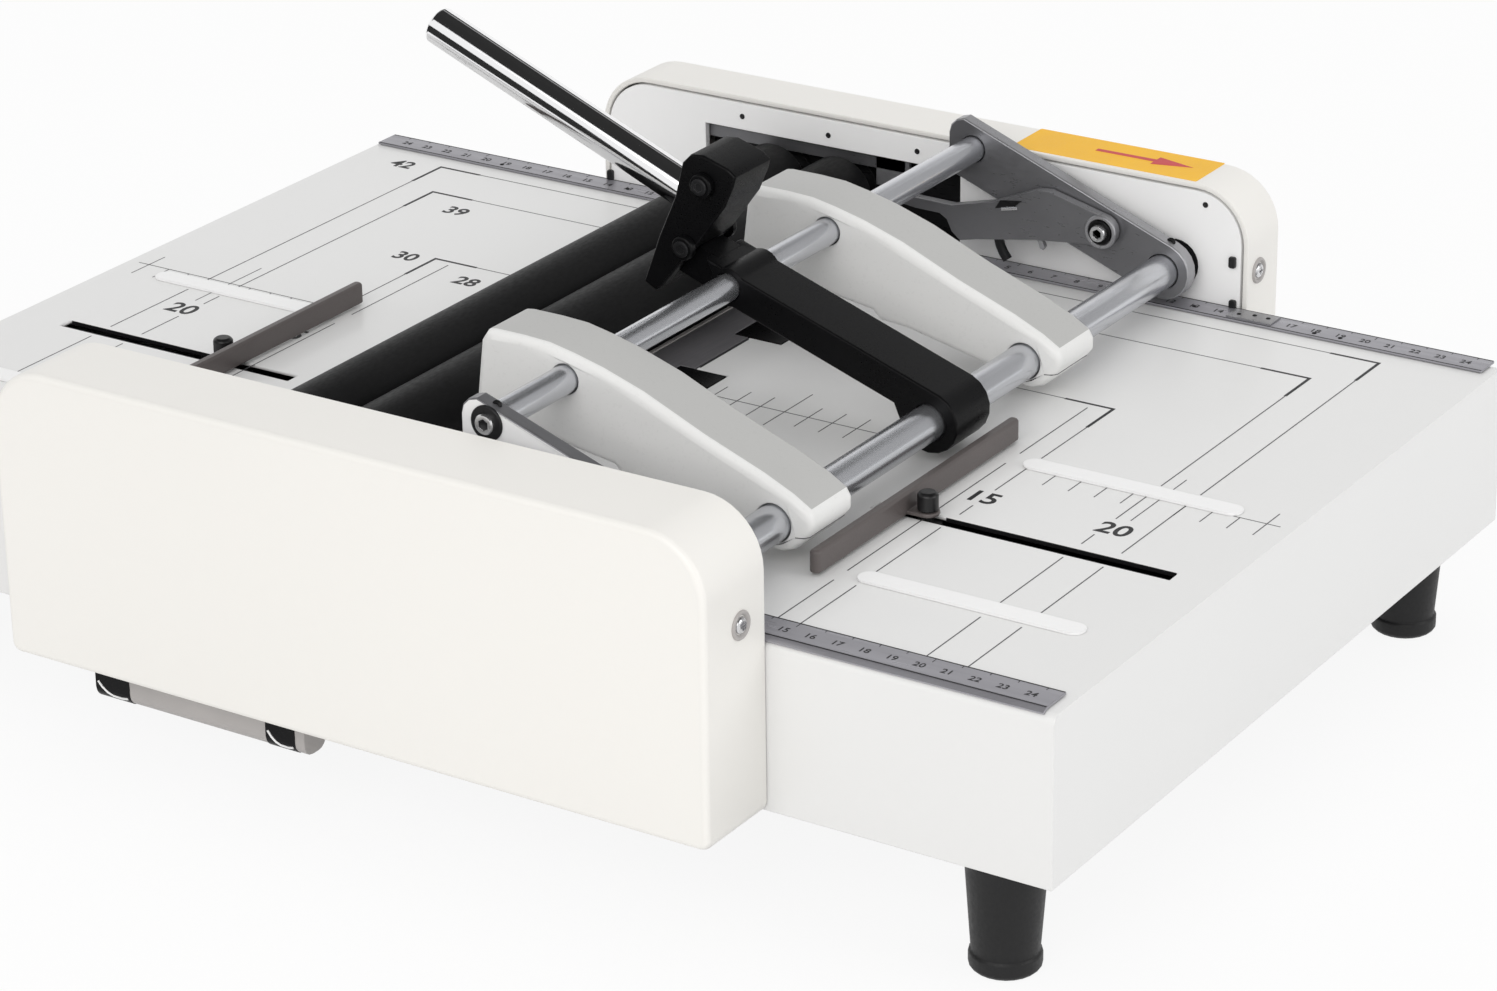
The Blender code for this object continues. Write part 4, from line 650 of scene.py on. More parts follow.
def rail_print(place):
    """Centimetre numbers and short ticks of a scale rail, and dark lines along its edges that are painted shade of the
    gaps beside it.
    """
    low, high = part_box(place + "_rail")
    top = high.z
    front, back = (low.y + RAIL_LIP, high.y) if place == "front" else (low.y, high.y)
    marks = bmesh.new()
    # Painted shade: a dark line along each long edge of the rail's top, for the shade in the gap beside the rail
    for y in (front, back - GAP_SHADE_LINE):
        add_box(
            marks, (low.x + GAP_SHADE_LINE_END, y, top - INK_SINK), (high.x - GAP_SHADE_LINE_END, y + GAP_SHADE_LINE, top + INK_TOP),
        )
    for step in range(-24, 25):
        if step:
            height = LONG_RAIL_TICK if step % 5 == 0 else RAIL_TICK
            x = step / 100
            add_box(
                marks, (x - RAIL_TICK_HALF, back - height, top - INK_SINK),
                (x + RAIL_TICK_HALF, back - RAIL_TICK_END, top + INK_TOP),
            )
    piece(place + "_rail_marks", marks, INK_AND_PAINTED_SHADE, "frame")
    for step in range(2, 25):
        for side, sign in (("left", -1), ("right", 1)):
            digit_place = (sign * (step / 100 - RAIL_DIGIT_SHIFT[0]), (front + back) / 2 - RAIL_DIGIT_SHIFT[1], top)
            digits(f"{place}_rail_{side}_{step}", str(step), RAIL_DIGIT, digit_place, INK_AND_PAINTED_SHADE, RAIL_BOLD)


rail_print("front")
rail_print("rear")

# Glide strips over the tables' ridges, beside the fence slots
GLIDE_XS, GLIDE_HALF, GLIDE_CORNER = (0.1457, 0.2293), 0.0042, 0.0039
GLIDE_LIFTS, GLIDE_EDGE = (0.0002, 0.0010), 0.00015
SLOT_DEPTHS = (("right", 1, 0.0937), ("left", -1, 0.083))
GLIDE_OFFSETS = (("front", -0.0527), ("rear", 0.0565))
for strip_side, sign, slot_depth in SLOT_DEPTHS:
    for strip_place, offset in GLIDE_OFFSETS:
        strip = bmesh.new()
        xs = sorted(sign * x for x in GLIDE_XS)
        y = SHEET_FRONT + slot_depth + offset
        outline = stadium((xs[0], y - GLIDE_HALF), (xs[1], y + GLIDE_HALF), GLIDE_CORNER)
        add_prism(strip, outline, "Z", TABLE_TOP + GLIDE_LIFTS[0], TABLE_TOP + GLIDE_LIFTS[1], GLIDE_EDGE)
        piece(f"{strip_side}_{strip_place}_glide_strip", strip, GLIDE, "frame")

# Dark strip and fold on the guide plate: ends along X, lift over the plate, rounding and finish. The dark strip,
# listed as the slot, is painted shadow of the cross rod along the plate's left edge.
GUIDE_END, GUIDE_SINK = 0.004, 0.0002
GUIDE_LINES = (
    # Painted shadow of the cross rod
    ("slot", (-0.0262, -0.0230), 0.00005, 0.0, RUBBER_AND_PAINTED_SHADOW),
    ("fold", (-0.0229, -0.0211), 0.0004, 0.00015, GREY_PLASTIC),
)
guide_low, guide_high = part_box("guide_plate")
for line_name, xs, lift, edge, finish in GUIDE_LINES:
    guide_line = bmesh.new()
    add_box(
        guide_line, (xs[0], guide_low.y + GUIDE_END, guide_high.z - GUIDE_SINK),
        (xs[1], guide_high.y - GUIDE_END, guide_high.z + lift), edge,
    )
    piece("guide_plate_" + line_name, guide_line, finish, "frame")

# Dark line along the edge of the right table, left out at the anvils
TABLE_LINE_XS, RAIL_GAP, ANVIL_GAP = (0.0008, 0.0016), 0.0005, 0.002
edge_line = bmesh.new()
stops = [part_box("front_rail")[1].y + RAIL_GAP]
for anvil in ("anvil_front", "anvil_middle", "anvil_rear"):
    anvil_low, anvil_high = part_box(anvil)
    stops += [anvil_low.y - ANVIL_GAP, anvil_high.y + ANVIL_GAP]
stops.append(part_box("rear_rail")[0].y - RAIL_GAP)
for start, end in zip(stops[::2], stops[1::2]):
    add_mark(edge_line, (TABLE_LINE_XS[0], start - SHEET_FRONT), (TABLE_LINE_XS[1], end - SHEET_FRONT))
piece("right_table_edge_line", edge_line, INK_AND_PAINTED_SHADE, "frame")

# Black bands near the ends of the bar under the front cover
BAR_HEIGHT, BAR_CORNER, BAND_LIFT, BAND_EDGE, BAND_STEPS = 0.014, 0.0045, 0.0002, 0.0002, 8
LEFT_BAND_LIFT, LEFT_BAND_END, RIGHT_BAND = 0.0001, -0.1005, (-0.0410, -0.0285)

# Painted highlight on each: a pale crescent for the curved highlight on the band's round end; shares of the band's
# width, and heights over the bar's underside
CRESCENT_RADIUS, CRESCENT_SIDES = 0.00045, 10
CRESCENT_SHARES = ((0.08, 0.0070), (0.2, 0.0050), (0.35, 0.0034), (0.5, 0.0025), (0.75, 0.0024), (0.93, 0.0029))

bar_low, bar_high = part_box("front_bar")
bar_top = bar_low.z + BAR_HEIGHT
band_radius = BAR_CORNER + BAND_LIFT
for band_side, band_start, band_end in (("left", bar_low.x - LEFT_BAND_LIFT, LEFT_BAND_END), ("right", *RIGHT_BAND)):
    band, painted_highlight_arc = bmesh.new(), bmesh.new()
    outline = stadium(
        (bar_low.y - BAND_LIFT, bar_low.z - BAND_LIFT), (bar_high.y + BAND_LIFT, bar_top + BAND_LIFT),
        band_radius, BAND_STEPS,
    )
    add_prism(band, outline, "X", band_start, band_end, BAND_EDGE)
    points = []
    for share, height in CRESCENT_SHARES:
        drop = max(BAR_CORNER - height, 0)
        x, y = band_start + (band_end - band_start) * share, bar_low.y + BAR_CORNER
        points.append((x, y - math.sqrt(band_radius ** 2 - drop ** 2), bar_low.z + height))
    add_tube(painted_highlight_arc, points, CRESCENT_RADIUS, CRESCENT_SIDES)
    piece(f"front_bar_{band_side}_band", band, BLACK_METAL, "frame")
    piece(f"front_bar_{band_side}_crescent", painted_highlight_arc, PAINTED_HIGHLIGHT_STEEL, "frame")

# Sticker on the rear cover, with an arrow
STICKER_LOW, STICKER_HIGH, STICKER_CORNER = (0.0440, 0.1722), (0.1228, 0.1958), 0.0006
STICKER_SINK, STICKER_LIFT, ARROW_LIFT, PAPER_EDGE = 0.0001, 0.00015, 0.00025, 0.00005
ARROW_OUTLINE = (
    (0.0740, 0.1838), (0.0990, 0.1838), (0.0990, 0.1808), (0.1150, 0.1850), (0.0990, 0.1892), (0.0990, 0.1862),
    (0.0740, 0.1862),
)
cover_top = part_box("rear_cover")[1].z
sticker = bmesh.new()
sticker_outline = stadium(STICKER_LOW, STICKER_HIGH, STICKER_CORNER)
add_prism(sticker, sticker_outline, "Z", cover_top - STICKER_SINK, cover_top + STICKER_LIFT, PAPER_EDGE)
piece("rear_cover_sticker", sticker, STICKER, "frame")
arrow = bmesh.new()
add_prism(arrow, ARROW_OUTLINE, "Z", cover_top, cover_top + ARROW_LIFT, PAPER_EDGE)
piece("sticker_arrow", arrow, ARROW, "frame")

# Screws in the covers' side faces, each in a dished washer
COVER_SCREWS = (("front", -0.1772, 0.1114), ("rear", 0.1794, 0.1141))
COVER_SCREW, DISH_SIDES = (0.0029, 0.0012), 40
DISH_PROFILE = (
    (0.0050, -0.0004), (0.0050, 0.0004), (0.0046, 0.0009), (0.0040, 0.0009), (0.0034, 0.0003), (0.0030, -0.0002),
)
for screw_place, y, z in COVER_SCREWS:
    low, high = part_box(screw_place + "_cover")
    for screw_side, x, sign in (("left", low.x, -1), ("right", high.x, 1)):
        washer, screw = bmesh.new(), bmesh.new()
        add_rings(washer, DISH_PROFILE, (x, y, z), (sign, 0, 0), DISH_SIDES)
        add_screw(screw, (x, y, z), (sign, 0, 0), *COVER_SCREW)
        piece(f"{screw_place}_cover_{screw_side}_washer", washer, GREY_PLASTIC, "frame")
        piece(f"{screw_place}_cover_{screw_side}_screw", screw, BRIGHT, "frame")

# Seam across the nose of each stapler housing: places back from the tip and in from the sides
SEAM_HEIGHT, SEAM_RADIUS, SEAM_SIDES = 0.1110, 0.0002, 8
NOSE_EDGE = ((0.0063, 0.0), (0.0036, 0.0009), (0.0024, 0.0030))
for housing in ("front", "rear"):
    low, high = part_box(housing + "_stapler_housing")
    seam = bmesh.new()
    near = [(high.x - back, low.y + side, SEAM_HEIGHT) for back, side in NOSE_EDGE]
    far = [(high.x - back, high.y - side, SEAM_HEIGHT) for back, side in reversed(NOSE_EDGE)]
    add_tube(seam, near + far, SEAM_RADIUS, SEAM_SIDES)
    piece(housing + "_stapler_seam", seam, GREY_INK, "press_group")


def add_frame(shape, outer, inner, start, end):
    """A flat frame in a plane across Y, between two outlines with as many points."""
    loops = [
        [shape.verts.new((across, place, up)) for across, up in outline]
        for place in (start, end) for outline in (outer, inner)
    ]
    outer_low, inner_low, outer_high, inner_high = loops
    for first, second in (
        (outer_low, inner_low), (outer_high, inner_high), (outer_low, outer_high), (inner_low, inner_high),
    ):
        for index in range(len(first)):
            after = (index + 1) % len(first)
            shape.faces.new((first[index], first[after], second[after], second[index]))


# Flange of the power inlet with its screws
FLANGE_HALF, FLANGE_CORNER, FLANGE_LIFT = (0.0235, 0.0125), 0.0050, 0.0016
INLET_GAP, INNER_CORNER, FRAME_SINK = 0.0001, 0.0005, 0.0002
FLANGE_SCREW_X, FLANGE_SCREW = 0.0190, (0.0026, 0.0011)
back_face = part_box("rear_cover")[1].y
inlet_low, inlet_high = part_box("power_inlet")
inlet_x, inlet_z = (inlet_low.x + inlet_high.x) / 2, (inlet_low.z + inlet_high.z) / 2
flange = bmesh.new()
flange_outer = stadium(
    (inlet_x - FLANGE_HALF[0], inlet_z - FLANGE_HALF[1]), (inlet_x + FLANGE_HALF[0], inlet_z + FLANGE_HALF[1]),
    FLANGE_CORNER,
)
flange_inner = stadium(
    (inlet_low.x - INLET_GAP, inlet_low.z - INLET_GAP), (inlet_high.x + INLET_GAP, inlet_high.z + INLET_GAP),
    INNER_CORNER,
)
add_frame(flange, flange_outer, flange_inner, back_face - FRAME_SINK, back_face + FLANGE_LIFT)
piece("power_inlet_flange", flange, PLASTIC, "frame")
for flange_side, x in (("left", inlet_x - FLANGE_SCREW_X), ("right", inlet_x + FLANGE_SCREW_X)):
    screw = bmesh.new()
    add_screw(screw, (x, back_face + FLANGE_LIFT, inlet_z), REAR, *FLANGE_SCREW)
    piece(f"power_inlet_{flange_side}_screw", screw, BRIGHT, "frame")

# Frame of the switch, and the on and off marks on its rocker
SWITCH_OUTER, SWITCH_CORNER, SWITCH_LIFT = ((-0.0752, 0.0528), (-0.0568, 0.0772)), 0.0018, 0.0013
SWITCH_INNER = ((-0.0725, 0.0555), (-0.0595, 0.0745))
ON_MARK, ON_RADIUS, ON_SIDES = ((-0.0660, 0.19590, 0.0712), (-0.0660, 0.19626, 0.0676)), 0.0003, 8
OFF_PLACE, OFF_SIDES, ROCKER_FACE = (-0.0660, 0.19698, 0.0605), 32, (0, 0.99, 0.10)
OFF_PROFILE = ((0.0019, -0.0002), (0.0019, 0.00008), (0.0014, 0.00008), (0.0014, -0.0002))
switch_frame, bar_mark, ring_mark = bmesh.new(), bmesh.new(), bmesh.new()
frame_outer, frame_inner = stadium(*SWITCH_OUTER, SWITCH_CORNER), stadium(*SWITCH_INNER, INNER_CORNER)
add_frame(switch_frame, frame_outer, frame_inner, back_face - FRAME_SINK, back_face + SWITCH_LIFT)
piece("power_switch_frame", switch_frame, PLASTIC, "frame")
add_tube(bar_mark, ON_MARK, ON_RADIUS, ON_SIDES)
add_rings(ring_mark, OFF_PROFILE, OFF_PLACE, Vector(ROCKER_FACE).normalized(), OFF_SIDES)
piece("switch_on_mark", bar_mark, GLIDE, "power_switch")
piece("switch_off_mark", ring_mark, GLIDE, "power_switch")

# Plugs and clips of the rear frame plate
PLUG_PLACES = ((-0.0766, 0.1386), (-0.0368, 0.1377), (0.0034, 0.1382), (0.0731, 0.1350), (0.1277, 0.1392))
PLUG_PROFILE, PLUG_SIDES = ((0.0011, -0.0003), (0.0011, 0.0002), (0.0007, 0.0003), (0.0004, 0.0001)), 20
CLIP_PLACES = ((0.1398, 0.1189), (0.1404, 0.1019), (-0.1400, 0.1030))
CLIP_HALF, CLIP_CORNER, CLIP_STEPS = (0.0014, 0.0022), 0.0008, 3
CLIP_SINK, CLIP_LIFT, CLIP_EDGE = 0.0003, 0.0015, 0.0004
plate_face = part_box("rear_frame_plate")[0].y
for index, (x, z) in enumerate(PLUG_PLACES):
    plug = bmesh.new()
    add_rings(plug, PLUG_PROFILE, (x, plate_face, z), FRONT, PLUG_SIDES)
    piece(f"rear_plate_plug_{index + 1}", plug, PLASTIC, "frame")
for index, (x, z) in enumerate(CLIP_PLACES):
    clip = bmesh.new()
    outline = stadium(
        (x - CLIP_HALF[0], z - CLIP_HALF[1]), (x + CLIP_HALF[0], z + CLIP_HALF[1]), CLIP_CORNER, CLIP_STEPS,
    )
    add_prism(clip, outline, "Y", plate_face + CLIP_SINK, plate_face - CLIP_LIFT, CLIP_EDGE)
    piece(f"rear_plate_clip_{index + 1}", clip, PLASTIC, "frame")

# Latch: bolt in a raised ring, spring hook, tab, spring slot and its pin
LATCH_STEP, BOLT_X, BOLT_Z = 0.0015, 0.0925, 0.127
LATCH_BOLT, RING_SIDES, BOLT_WASHER_SIDES = (0.0033, 0.0033), 48, 40
RING_PROFILE = (
    (0.0066, -0.0003), (0.0066, 0.0006), (0.0062, 0.0010), (0.0052, 0.0010), (0.0049, 0.0006), (0.0049, -0.0002),
)
BOLT_WASHER_PROFILE = ((0.0047, -0.0003), (0.0047, 0.0012), (0.0043, 0.0015), (0.0034, 0.0015))
HOOK_POINTS = ((0.0478, 0.1185), (0.0477, 0.1150), (0.0484, 0.1125), (0.0497, 0.1100), (0.0516, 0.1075))
HOOK_BACK, HOOK_RADIUS, HOOK_SIDES = 0.0022, 0.0019, 16
TAB_OUTLINE = ((0.0646, 0.1190), (0.0664, 0.1197), (0.0682, 0.1160), (0.0674, 0.1146), (0.0660, 0.1150))
TAB_BACKS, TAB_EDGE = (0.0008, 0.0032), 0.0004
SPRING_SLOT = ((0.0471, 0.1280), (0.0558, 0.1304), (0.0588, 0.1330), (0.0493, 0.1316))
SPRING_SLOT_SINK, SPRING_SLOT_LIFT, SPRING_SLOT_EDGE = 0.0004, 0.0003, 0.0001
SLOT_PIN, PIN_LIFT, PIN_RADIUS, PIN_SIDES = ((0.0502, 0.1284), (0.0571, 0.1299)), 0.0003, 0.0008, 16
latch_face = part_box("latch_lever")[0].y + LATCH_STEP
bolt_centre = (BOLT_X, latch_face, BOLT_Z)
latch_bolt, latch_ring, latch_washer = bmesh.new(), bmesh.new(), bmesh.new()
add_rings(latch_ring, RING_PROFILE, bolt_centre, FRONT, RING_SIDES)
add_rings(latch_washer, BOLT_WASHER_PROFILE, bolt_centre, FRONT, BOLT_WASHER_SIDES)
add_socket_head(latch_bolt, bolt_centre, FRONT, *LATCH_BOLT)
piece("latch_bolt_ring", latch_ring, EDGE_STEEL, "latch")
piece("latch_bolt_washer", latch_washer, BLACK_METAL, "latch")
piece("latch_bolt", latch_bolt, BRIGHT, "latch")
hook, tab, spring_slot, slot_pin = bmesh.new(), bmesh.new(), bmesh.new(), bmesh.new()
add_tube(hook, [(x, latch_face + HOOK_BACK, z) for x, z in HOOK_POINTS], HOOK_RADIUS, HOOK_SIDES)
piece("latch_spring_hook", hook, OILED_STEEL_AND_PAINTED_SHADE, "latch")
add_prism(tab, TAB_OUTLINE, "Y", latch_face + TAB_BACKS[0], latch_face + TAB_BACKS[1], TAB_EDGE)
piece("latch_tab", tab, EDGE_STEEL, "latch")
add_prism(
    spring_slot, SPRING_SLOT, "Y", latch_face + SPRING_SLOT_SINK, latch_face - SPRING_SLOT_LIFT, SPRING_SLOT_EDGE,
)
add_tube(slot_pin, [(x, latch_face - PIN_LIFT, z) for x, z in SLOT_PIN], PIN_RADIUS, PIN_SIDES)
piece("latch_spring_slot", spring_slot, OILED_STEEL_AND_PAINTED_SHADE, "latch")
piece("latch_slot_pin", slot_pin, BRIGHT, "latch")

# Screws of the bracket's bolts
BRACKET_SCREW = (0.0030, 0.0008)
for bolt_name in ("upper", "lower"):
    low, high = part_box("bracket_bolt_" + bolt_name)
    centre = (low + high) / 2
    for end_name, y, facing in (("front", low.y, FRONT), ("rear", high.y, REAR)):
        head = bmesh.new()
        add_socket_head(head, (centre.x, y, centre.z), facing, *BRACKET_SCREW)
        piece(f"bracket_{bolt_name}_{end_name}_screw", head, OILED_STEEL_AND_PAINTED_SHADE, "press_group")

# Washers and screws at the ends of the cross rod
ROD_WASHER_PROFILE, ROD_WASHER_SIDES = ((0.0062, -0.0002), (0.0062, 0.0005), (0.0059, 0.0008), (0.0036, 0.0008)), 40
ROD_SCREW = (0.0036, 0.0024)
rod_low, rod_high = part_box("cross_rod")
rod_centre = (rod_low + rod_high) / 2
for end_name, y, facing in (("front", rod_low.y, FRONT), ("rear", rod_high.y, REAR)):
    washer, screw = bmesh.new(), bmesh.new()
    end_place = (rod_centre.x, y, rod_centre.z)
    add_rings(washer, ROD_WASHER_PROFILE, end_place, facing, ROD_WASHER_SIDES)
    add_socket_head(screw, end_place, facing, *ROD_SCREW)
    piece(f"cross_rod_{end_name}_washer", washer, OILED_STEEL_AND_PAINTED_SHADE, "press_group")
    piece(f"cross_rod_{end_name}_screw", screw, BRIGHT, "press_group")

# Set screws in the links' top edges
SET_SCREWS = (("front_link", 0.0365), ("rear_link", 0.1180))
SET_SCREW_PROFILE = ((0.0017, -0.0004), (0.0017, 0.0003), (0.0013, 0.0005), (0.0007, 0.0005), (0.0006, 0.0001))
SET_SCREW_SIDES, TOP_EDGE_RISE = 24, 0.3


def top_edge(node_name, x):
    """The highest point of a node's top edge at a place along X, and the edge's outward direction."""
    mesh = frame["nodes"][node_name].data
    for polygon in mesh.polygons:
        corners = [mesh.vertices[index].co for index in polygon.vertices]
        if polygon.normal.z > TOP_EDGE_RISE and min(c.x for c in corners) <= x <= max(c.x for c in corners):
            middle, normal = corners[0], polygon.normal
            return middle.z - (x - middle.x) * normal.x / normal.z, normal.copy()
    raise ValueError(node_name)


for link_name, x in SET_SCREWS:
    low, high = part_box(link_name)
    height, outward = top_edge(link_name, x)
    set_screw = bmesh.new()
    add_rings(set_screw, SET_SCREW_PROFILE, (x, (low.y + high.y) / 2, height), outward, SET_SCREW_SIDES)
    piece(link_name + "_set_screw", set_screw, BLACK_METAL, "press_group")

# Behind the window: a strip under the bracket's top, a panel and a spring hook
STRIP_BOX = (-0.0955, 0.1742, 0.1268), (-0.0040, 0.1754, 0.1325), 0.0002
PANEL_BOX = (-0.0170, 0.1742, 0.1200), (-0.0022, 0.1758, 0.1325), 0.0003
WINDOW_HOOK_POINTS = (
    (0.0077, 0.1170), (0.0104, 0.1163), (0.0135, 0.1128), (0.0157, 0.1120), (0.0198, 0.1131), (0.0238, 0.1140),
)
WINDOW_HOOK_Y, WINDOW_HOOK_RADIUS, WINDOW_HOOK_SIDES = 0.1749, 0.0007, 12
window_strip, window_panel, window_hook = bmesh.new(), bmesh.new(), bmesh.new()
add_box(window_strip, *STRIP_BOX)
add_box(window_panel, *PANEL_BOX)
add_tube(window_hook, [(x, WINDOW_HOOK_Y, z) for x, z in WINDOW_HOOK_POINTS], WINDOW_HOOK_RADIUS, WINDOW_HOOK_SIDES)
piece("window_strip", window_strip, DARK_STEEL, "frame")
piece("window_panel", window_panel, EDGE_STEEL, "frame")
piece("window_spring_hook", window_hook, BRIGHT, "frame")

# Painted shade in the fence slots: dark linings on the slot walls, and dark channels under the slots, partly the dark
# slider part beneath and partly painted shade
FENCE_SLOTS = (("right", (0.1455, 0.2330), -0.0528), ("left", (-0.2270, -0.1565), -0.0635))
LINING_OUTER, LINING_INNER, LINING_END, LINING_DEPTHS = 0.00305, 0.00285, 0.0004, (0.0016, 0.0001)
CHANNEL_END, CHANNEL_HALF, CHANNEL_DEPTHS = 0.002, 0.006, (0.0068, 0.0060)
for slot_side, xs, y in FENCE_SLOTS:
    painted_shade_lining = bmesh.new()
    for y_low, y_high in ((y - LINING_OUTER, y - LINING_INNER), (y + LINING_INNER, y + LINING_OUTER)):
        add_box(
            painted_shade_lining, (xs[0] + LINING_END, y_low, TABLE_TOP - LINING_DEPTHS[0]),
            (xs[1] - LINING_END, y_high, TABLE_TOP - LINING_DEPTHS[1]),
        )
    add_box(
        painted_shade_lining, (xs[0] - CHANNEL_END, y - CHANNEL_HALF, TABLE_TOP - CHANNEL_DEPTHS[0]),
        (xs[1] + CHANNEL_END, y + CHANNEL_HALF, TABLE_TOP - CHANNEL_DEPTHS[1]),
    )
    piece(slot_side + "_fence_slot_lining", painted_shade_lining, OILED_STEEL_AND_PAINTED_SHADE, "frame")

# Small plate on the rear rail, and dowels on the plate and on the rail
RAIL_PLATE_LOW, RAIL_PLATE_HIGH = (0.1425, 0.1606), (0.1610, 0.1690)
RAIL_PLATE_SINK, RAIL_PLATE_LIFT, RAIL_PLATE_EDGE = 0.0001, 0.0006, 0.0002
PLATE_DOWELS = ((0.1463, 0.1640), (0.1520, 0.1656), (0.1577, 0.1653))
RAIL_DOWELS = ((0.1276, 0.1641), (0.1781, 0.1621), (0.1884, 0.1625), (-0.1276, 0.1641), (-0.1884, 0.1625))
DOWEL_PROFILE, DOWEL_SIDES = ((0.0009, -0.0003), (0.0009, 0.0001), (0.0006, 0.0002), (0.0004, 0.00005)), 16
rail_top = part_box("rear_rail")[1].z
rail_plate = bmesh.new()
add_box(
    rail_plate, (*RAIL_PLATE_LOW, rail_top - RAIL_PLATE_SINK), (*RAIL_PLATE_HIGH, rail_top + RAIL_PLATE_LIFT),
    RAIL_PLATE_EDGE,
)
piece("rear_rail_plate", rail_plate, EDGE_STEEL, "frame")
dowel_places = [(x, y, RAIL_PLATE_LIFT) for x, y in PLATE_DOWELS] + [(x, y, 0) for x, y in RAIL_DOWELS]
for index, (x, y, lift) in enumerate(dowel_places):
    dowel = bmesh.new()
    add_rings(dowel, DOWEL_PROFILE, (x, y, rail_top + lift), UP, DOWEL_SIDES)
    piece(f"rear_rail_dowel_{index + 1}", dowel, BLACK_METAL, "frame")

# Floor and backdrop: matt for the object, bright for the camera
FLOOR_TONE, FLOOR_ROUGHNESS, FLOOR_GLOW = 0.87, 0.9, 0.90
FLOOR_RADIUS, FLOOR_SIDES = 9.0, 64
WORLD_LIGHT, WORLD_SEEN = 0.70, 1.0
floor_material = bpy.data.materials.new("floor_finish")
floor_material.use_nodes = True
floor_tree = floor_material.node_tree
floor_shader = floor_tree.nodes["Principled BSDF"]
socket(floor_shader, "Base Color", (FLOOR_TONE, FLOOR_TONE, FLOOR_TONE, 1))
socket(floor_shader, "Roughness", FLOOR_ROUGHNESS)
socket(floor_shader, "Specular IOR Level", 0.0)


def seen_straight(tree):
    """One for camera, glossy and transmission rays, zero for the rays that light the object."""
    path = tree.nodes.new("ShaderNodeLightPath")
    total = path.outputs["Is Camera Ray"]
    for name in ("Is Glossy Ray", "Is Transmission Ray"):
        node = tree.nodes.new("ShaderNodeMath")
        node.operation = "MAXIMUM"
        tree.links.new(total, node.inputs[0])
        tree.links.new(path.outputs[name], node.inputs[1])
        total = node.outputs[0]
    return total


glow = floor_tree.nodes.new("ShaderNodeEmission")
glow.inputs["Strength"].default_value = 1.0
share = floor_tree.nodes.new("ShaderNodeMath")
share.operation = "MULTIPLY"
share.inputs[1].default_value = FLOOR_GLOW
floor_tree.links.new(seen_straight(floor_tree), share.inputs[0])
blend = floor_tree.nodes.new("ShaderNodeMixShader")
floor_tree.links.new(share.outputs[0], blend.inputs[0])
floor_tree.links.new(floor_shader.outputs[0], blend.inputs[1])
floor_tree.links.new(glow.outputs[0], blend.inputs[2])
floor_tree.links.new(blend.outputs[0], floor_tree.nodes["Material Output"].inputs["Surface"])
floor_shape = bmesh.new()
bmesh.ops.create_circle(floor_shape, cap_ends=True, radius=FLOOR_RADIUS, segments=FLOOR_SIDES)
floor_mesh = bpy.data.meshes.new("floor")
floor_shape.to_mesh(floor_mesh)
floor_shape.free()
floor_mesh.materials.append(floor_material)
floor = add_object("floor", floor_mesh)

world = bpy.data.worlds.new("studio")
bpy.context.scene.world = world
world.use_nodes = True
world_tree = world.node_tree
back = world_tree.nodes["Background"]
back.inputs["Color"].default_value = (1, 1, 1, 1)
level = world_tree.nodes.new("ShaderNodeMapRange")
level.inputs["To Min"].default_value = WORLD_LIGHT
level.inputs["To Max"].default_value = WORLD_SEEN
world_tree.links.new(seen_straight(world_tree), level.inputs["Value"])
world_tree.links.new(level.outputs["Result"], back.inputs["Strength"])


def aim(obj, place, target):
    """Place a lamp or card, turned to its target."""
    obj.location = place
    obj.rotation_mode = "QUATERNION"
    obj.rotation_quaternion = (Vector(target) - Vector(place)).to_track_quat("-Z", "Y")


def lamp(name, place, target, size, power, colour=(1, 1, 1)):
    """A soft lamp as wide and high as its size."""
    light = bpy.data.lights.new(name, "AREA")
    light.shape = "RECTANGLE"
    light.size, light.size_y = size
    light.energy = power
    light.color = colour
    aim(add_object(name, light), place, target)


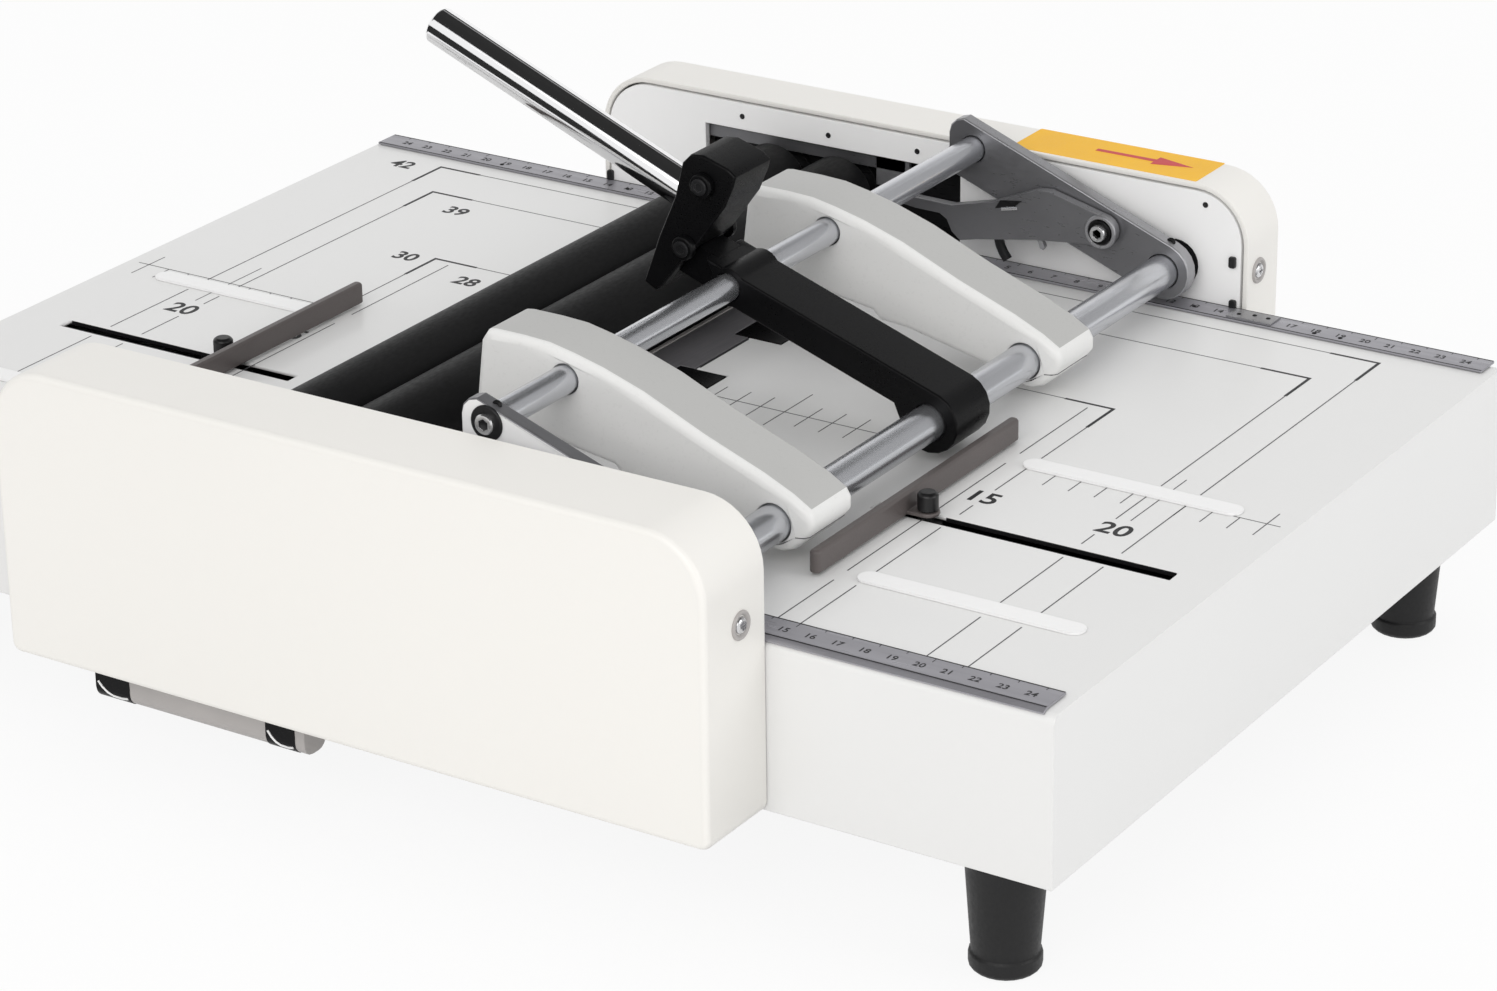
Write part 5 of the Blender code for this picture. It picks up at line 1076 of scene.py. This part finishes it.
def card(name, place, target, size, tone):
    """A flat card that only reflections see."""
    material = bpy.data.materials.new(name)
    material.use_nodes = True
    tree = material.node_tree
    tree.nodes.clear()
    shade = tree.nodes.new("ShaderNodeEmission")
    shade.inputs["Color"].default_value = (tone, tone, tone, 1)
    output = tree.nodes.new("ShaderNodeOutputMaterial")
    tree.links.new(shade.outputs[0], output.inputs["Surface"])
    shape = bmesh.new()
    bmesh.ops.create_grid(shape, x_segments=1, y_segments=1, size=0.5)
    mesh = bpy.data.meshes.new(name)
    shape.to_mesh(mesh)
    shape.free()
    mesh.materials.append(material)
    obj = add_object(name, mesh)
    obj.scale = (*size, 1)
    obj.visible_camera = obj.visible_diffuse = obj.visible_shadow = obj.visible_transmission = False
    aim(obj, place, target)


# Lamps with place, target, size, watts and tint, then cards with place, target, size and tone
OBJECT_CENTRE = (0, 0, 0.1)
lamp("front_softbox", (0.7, -3.0, 1.9), OBJECT_CENTRE, (2.6, 2.0), 44, (1, 0.985, 0.965))
lamp("top_softbox", (-0.6, 0.9, 2.6), OBJECT_CENTRE, (2.0, 2.0), 4)
lamp("right_softbox", (2.8, 0.6, 1.2), OBJECT_CENTRE, (1.6, 1.2), 16)
card("dark_ceiling_card", (0, 0.6, 2.35), (0, 0.6, 0), (6.0, 5.0), 0.03)
card("dark_side_card", (-0.520, -0.388, 0.165), (-0.036, 0.0, 0.195), (0.80, 0.37), 0.03)
card("grey_side_card", (1.53, 2.10, 1.2), (0, 0, 1.2), (2.4, 2.0), 0.45)

camera_data = bpy.data.cameras.new("camera")
camera_data.sensor_width = SENSOR_MM
camera_data.lens = LENS_MM
camera = add_object("camera", camera_data)
right, forward = Vector(CAMERA_RIGHT).normalized(), Vector(CAMERA_FORWARD).normalized()
up = right.cross(forward)
camera.matrix_world = Matrix.Translation(CAMERA_PLACE) @ Matrix((right, up, -forward)).transposed().to_4x4()
bpy.context.scene.camera = camera
bpy.context.scene.view_settings.view_transform = "Standard"

bpy.context.view_layer.update()
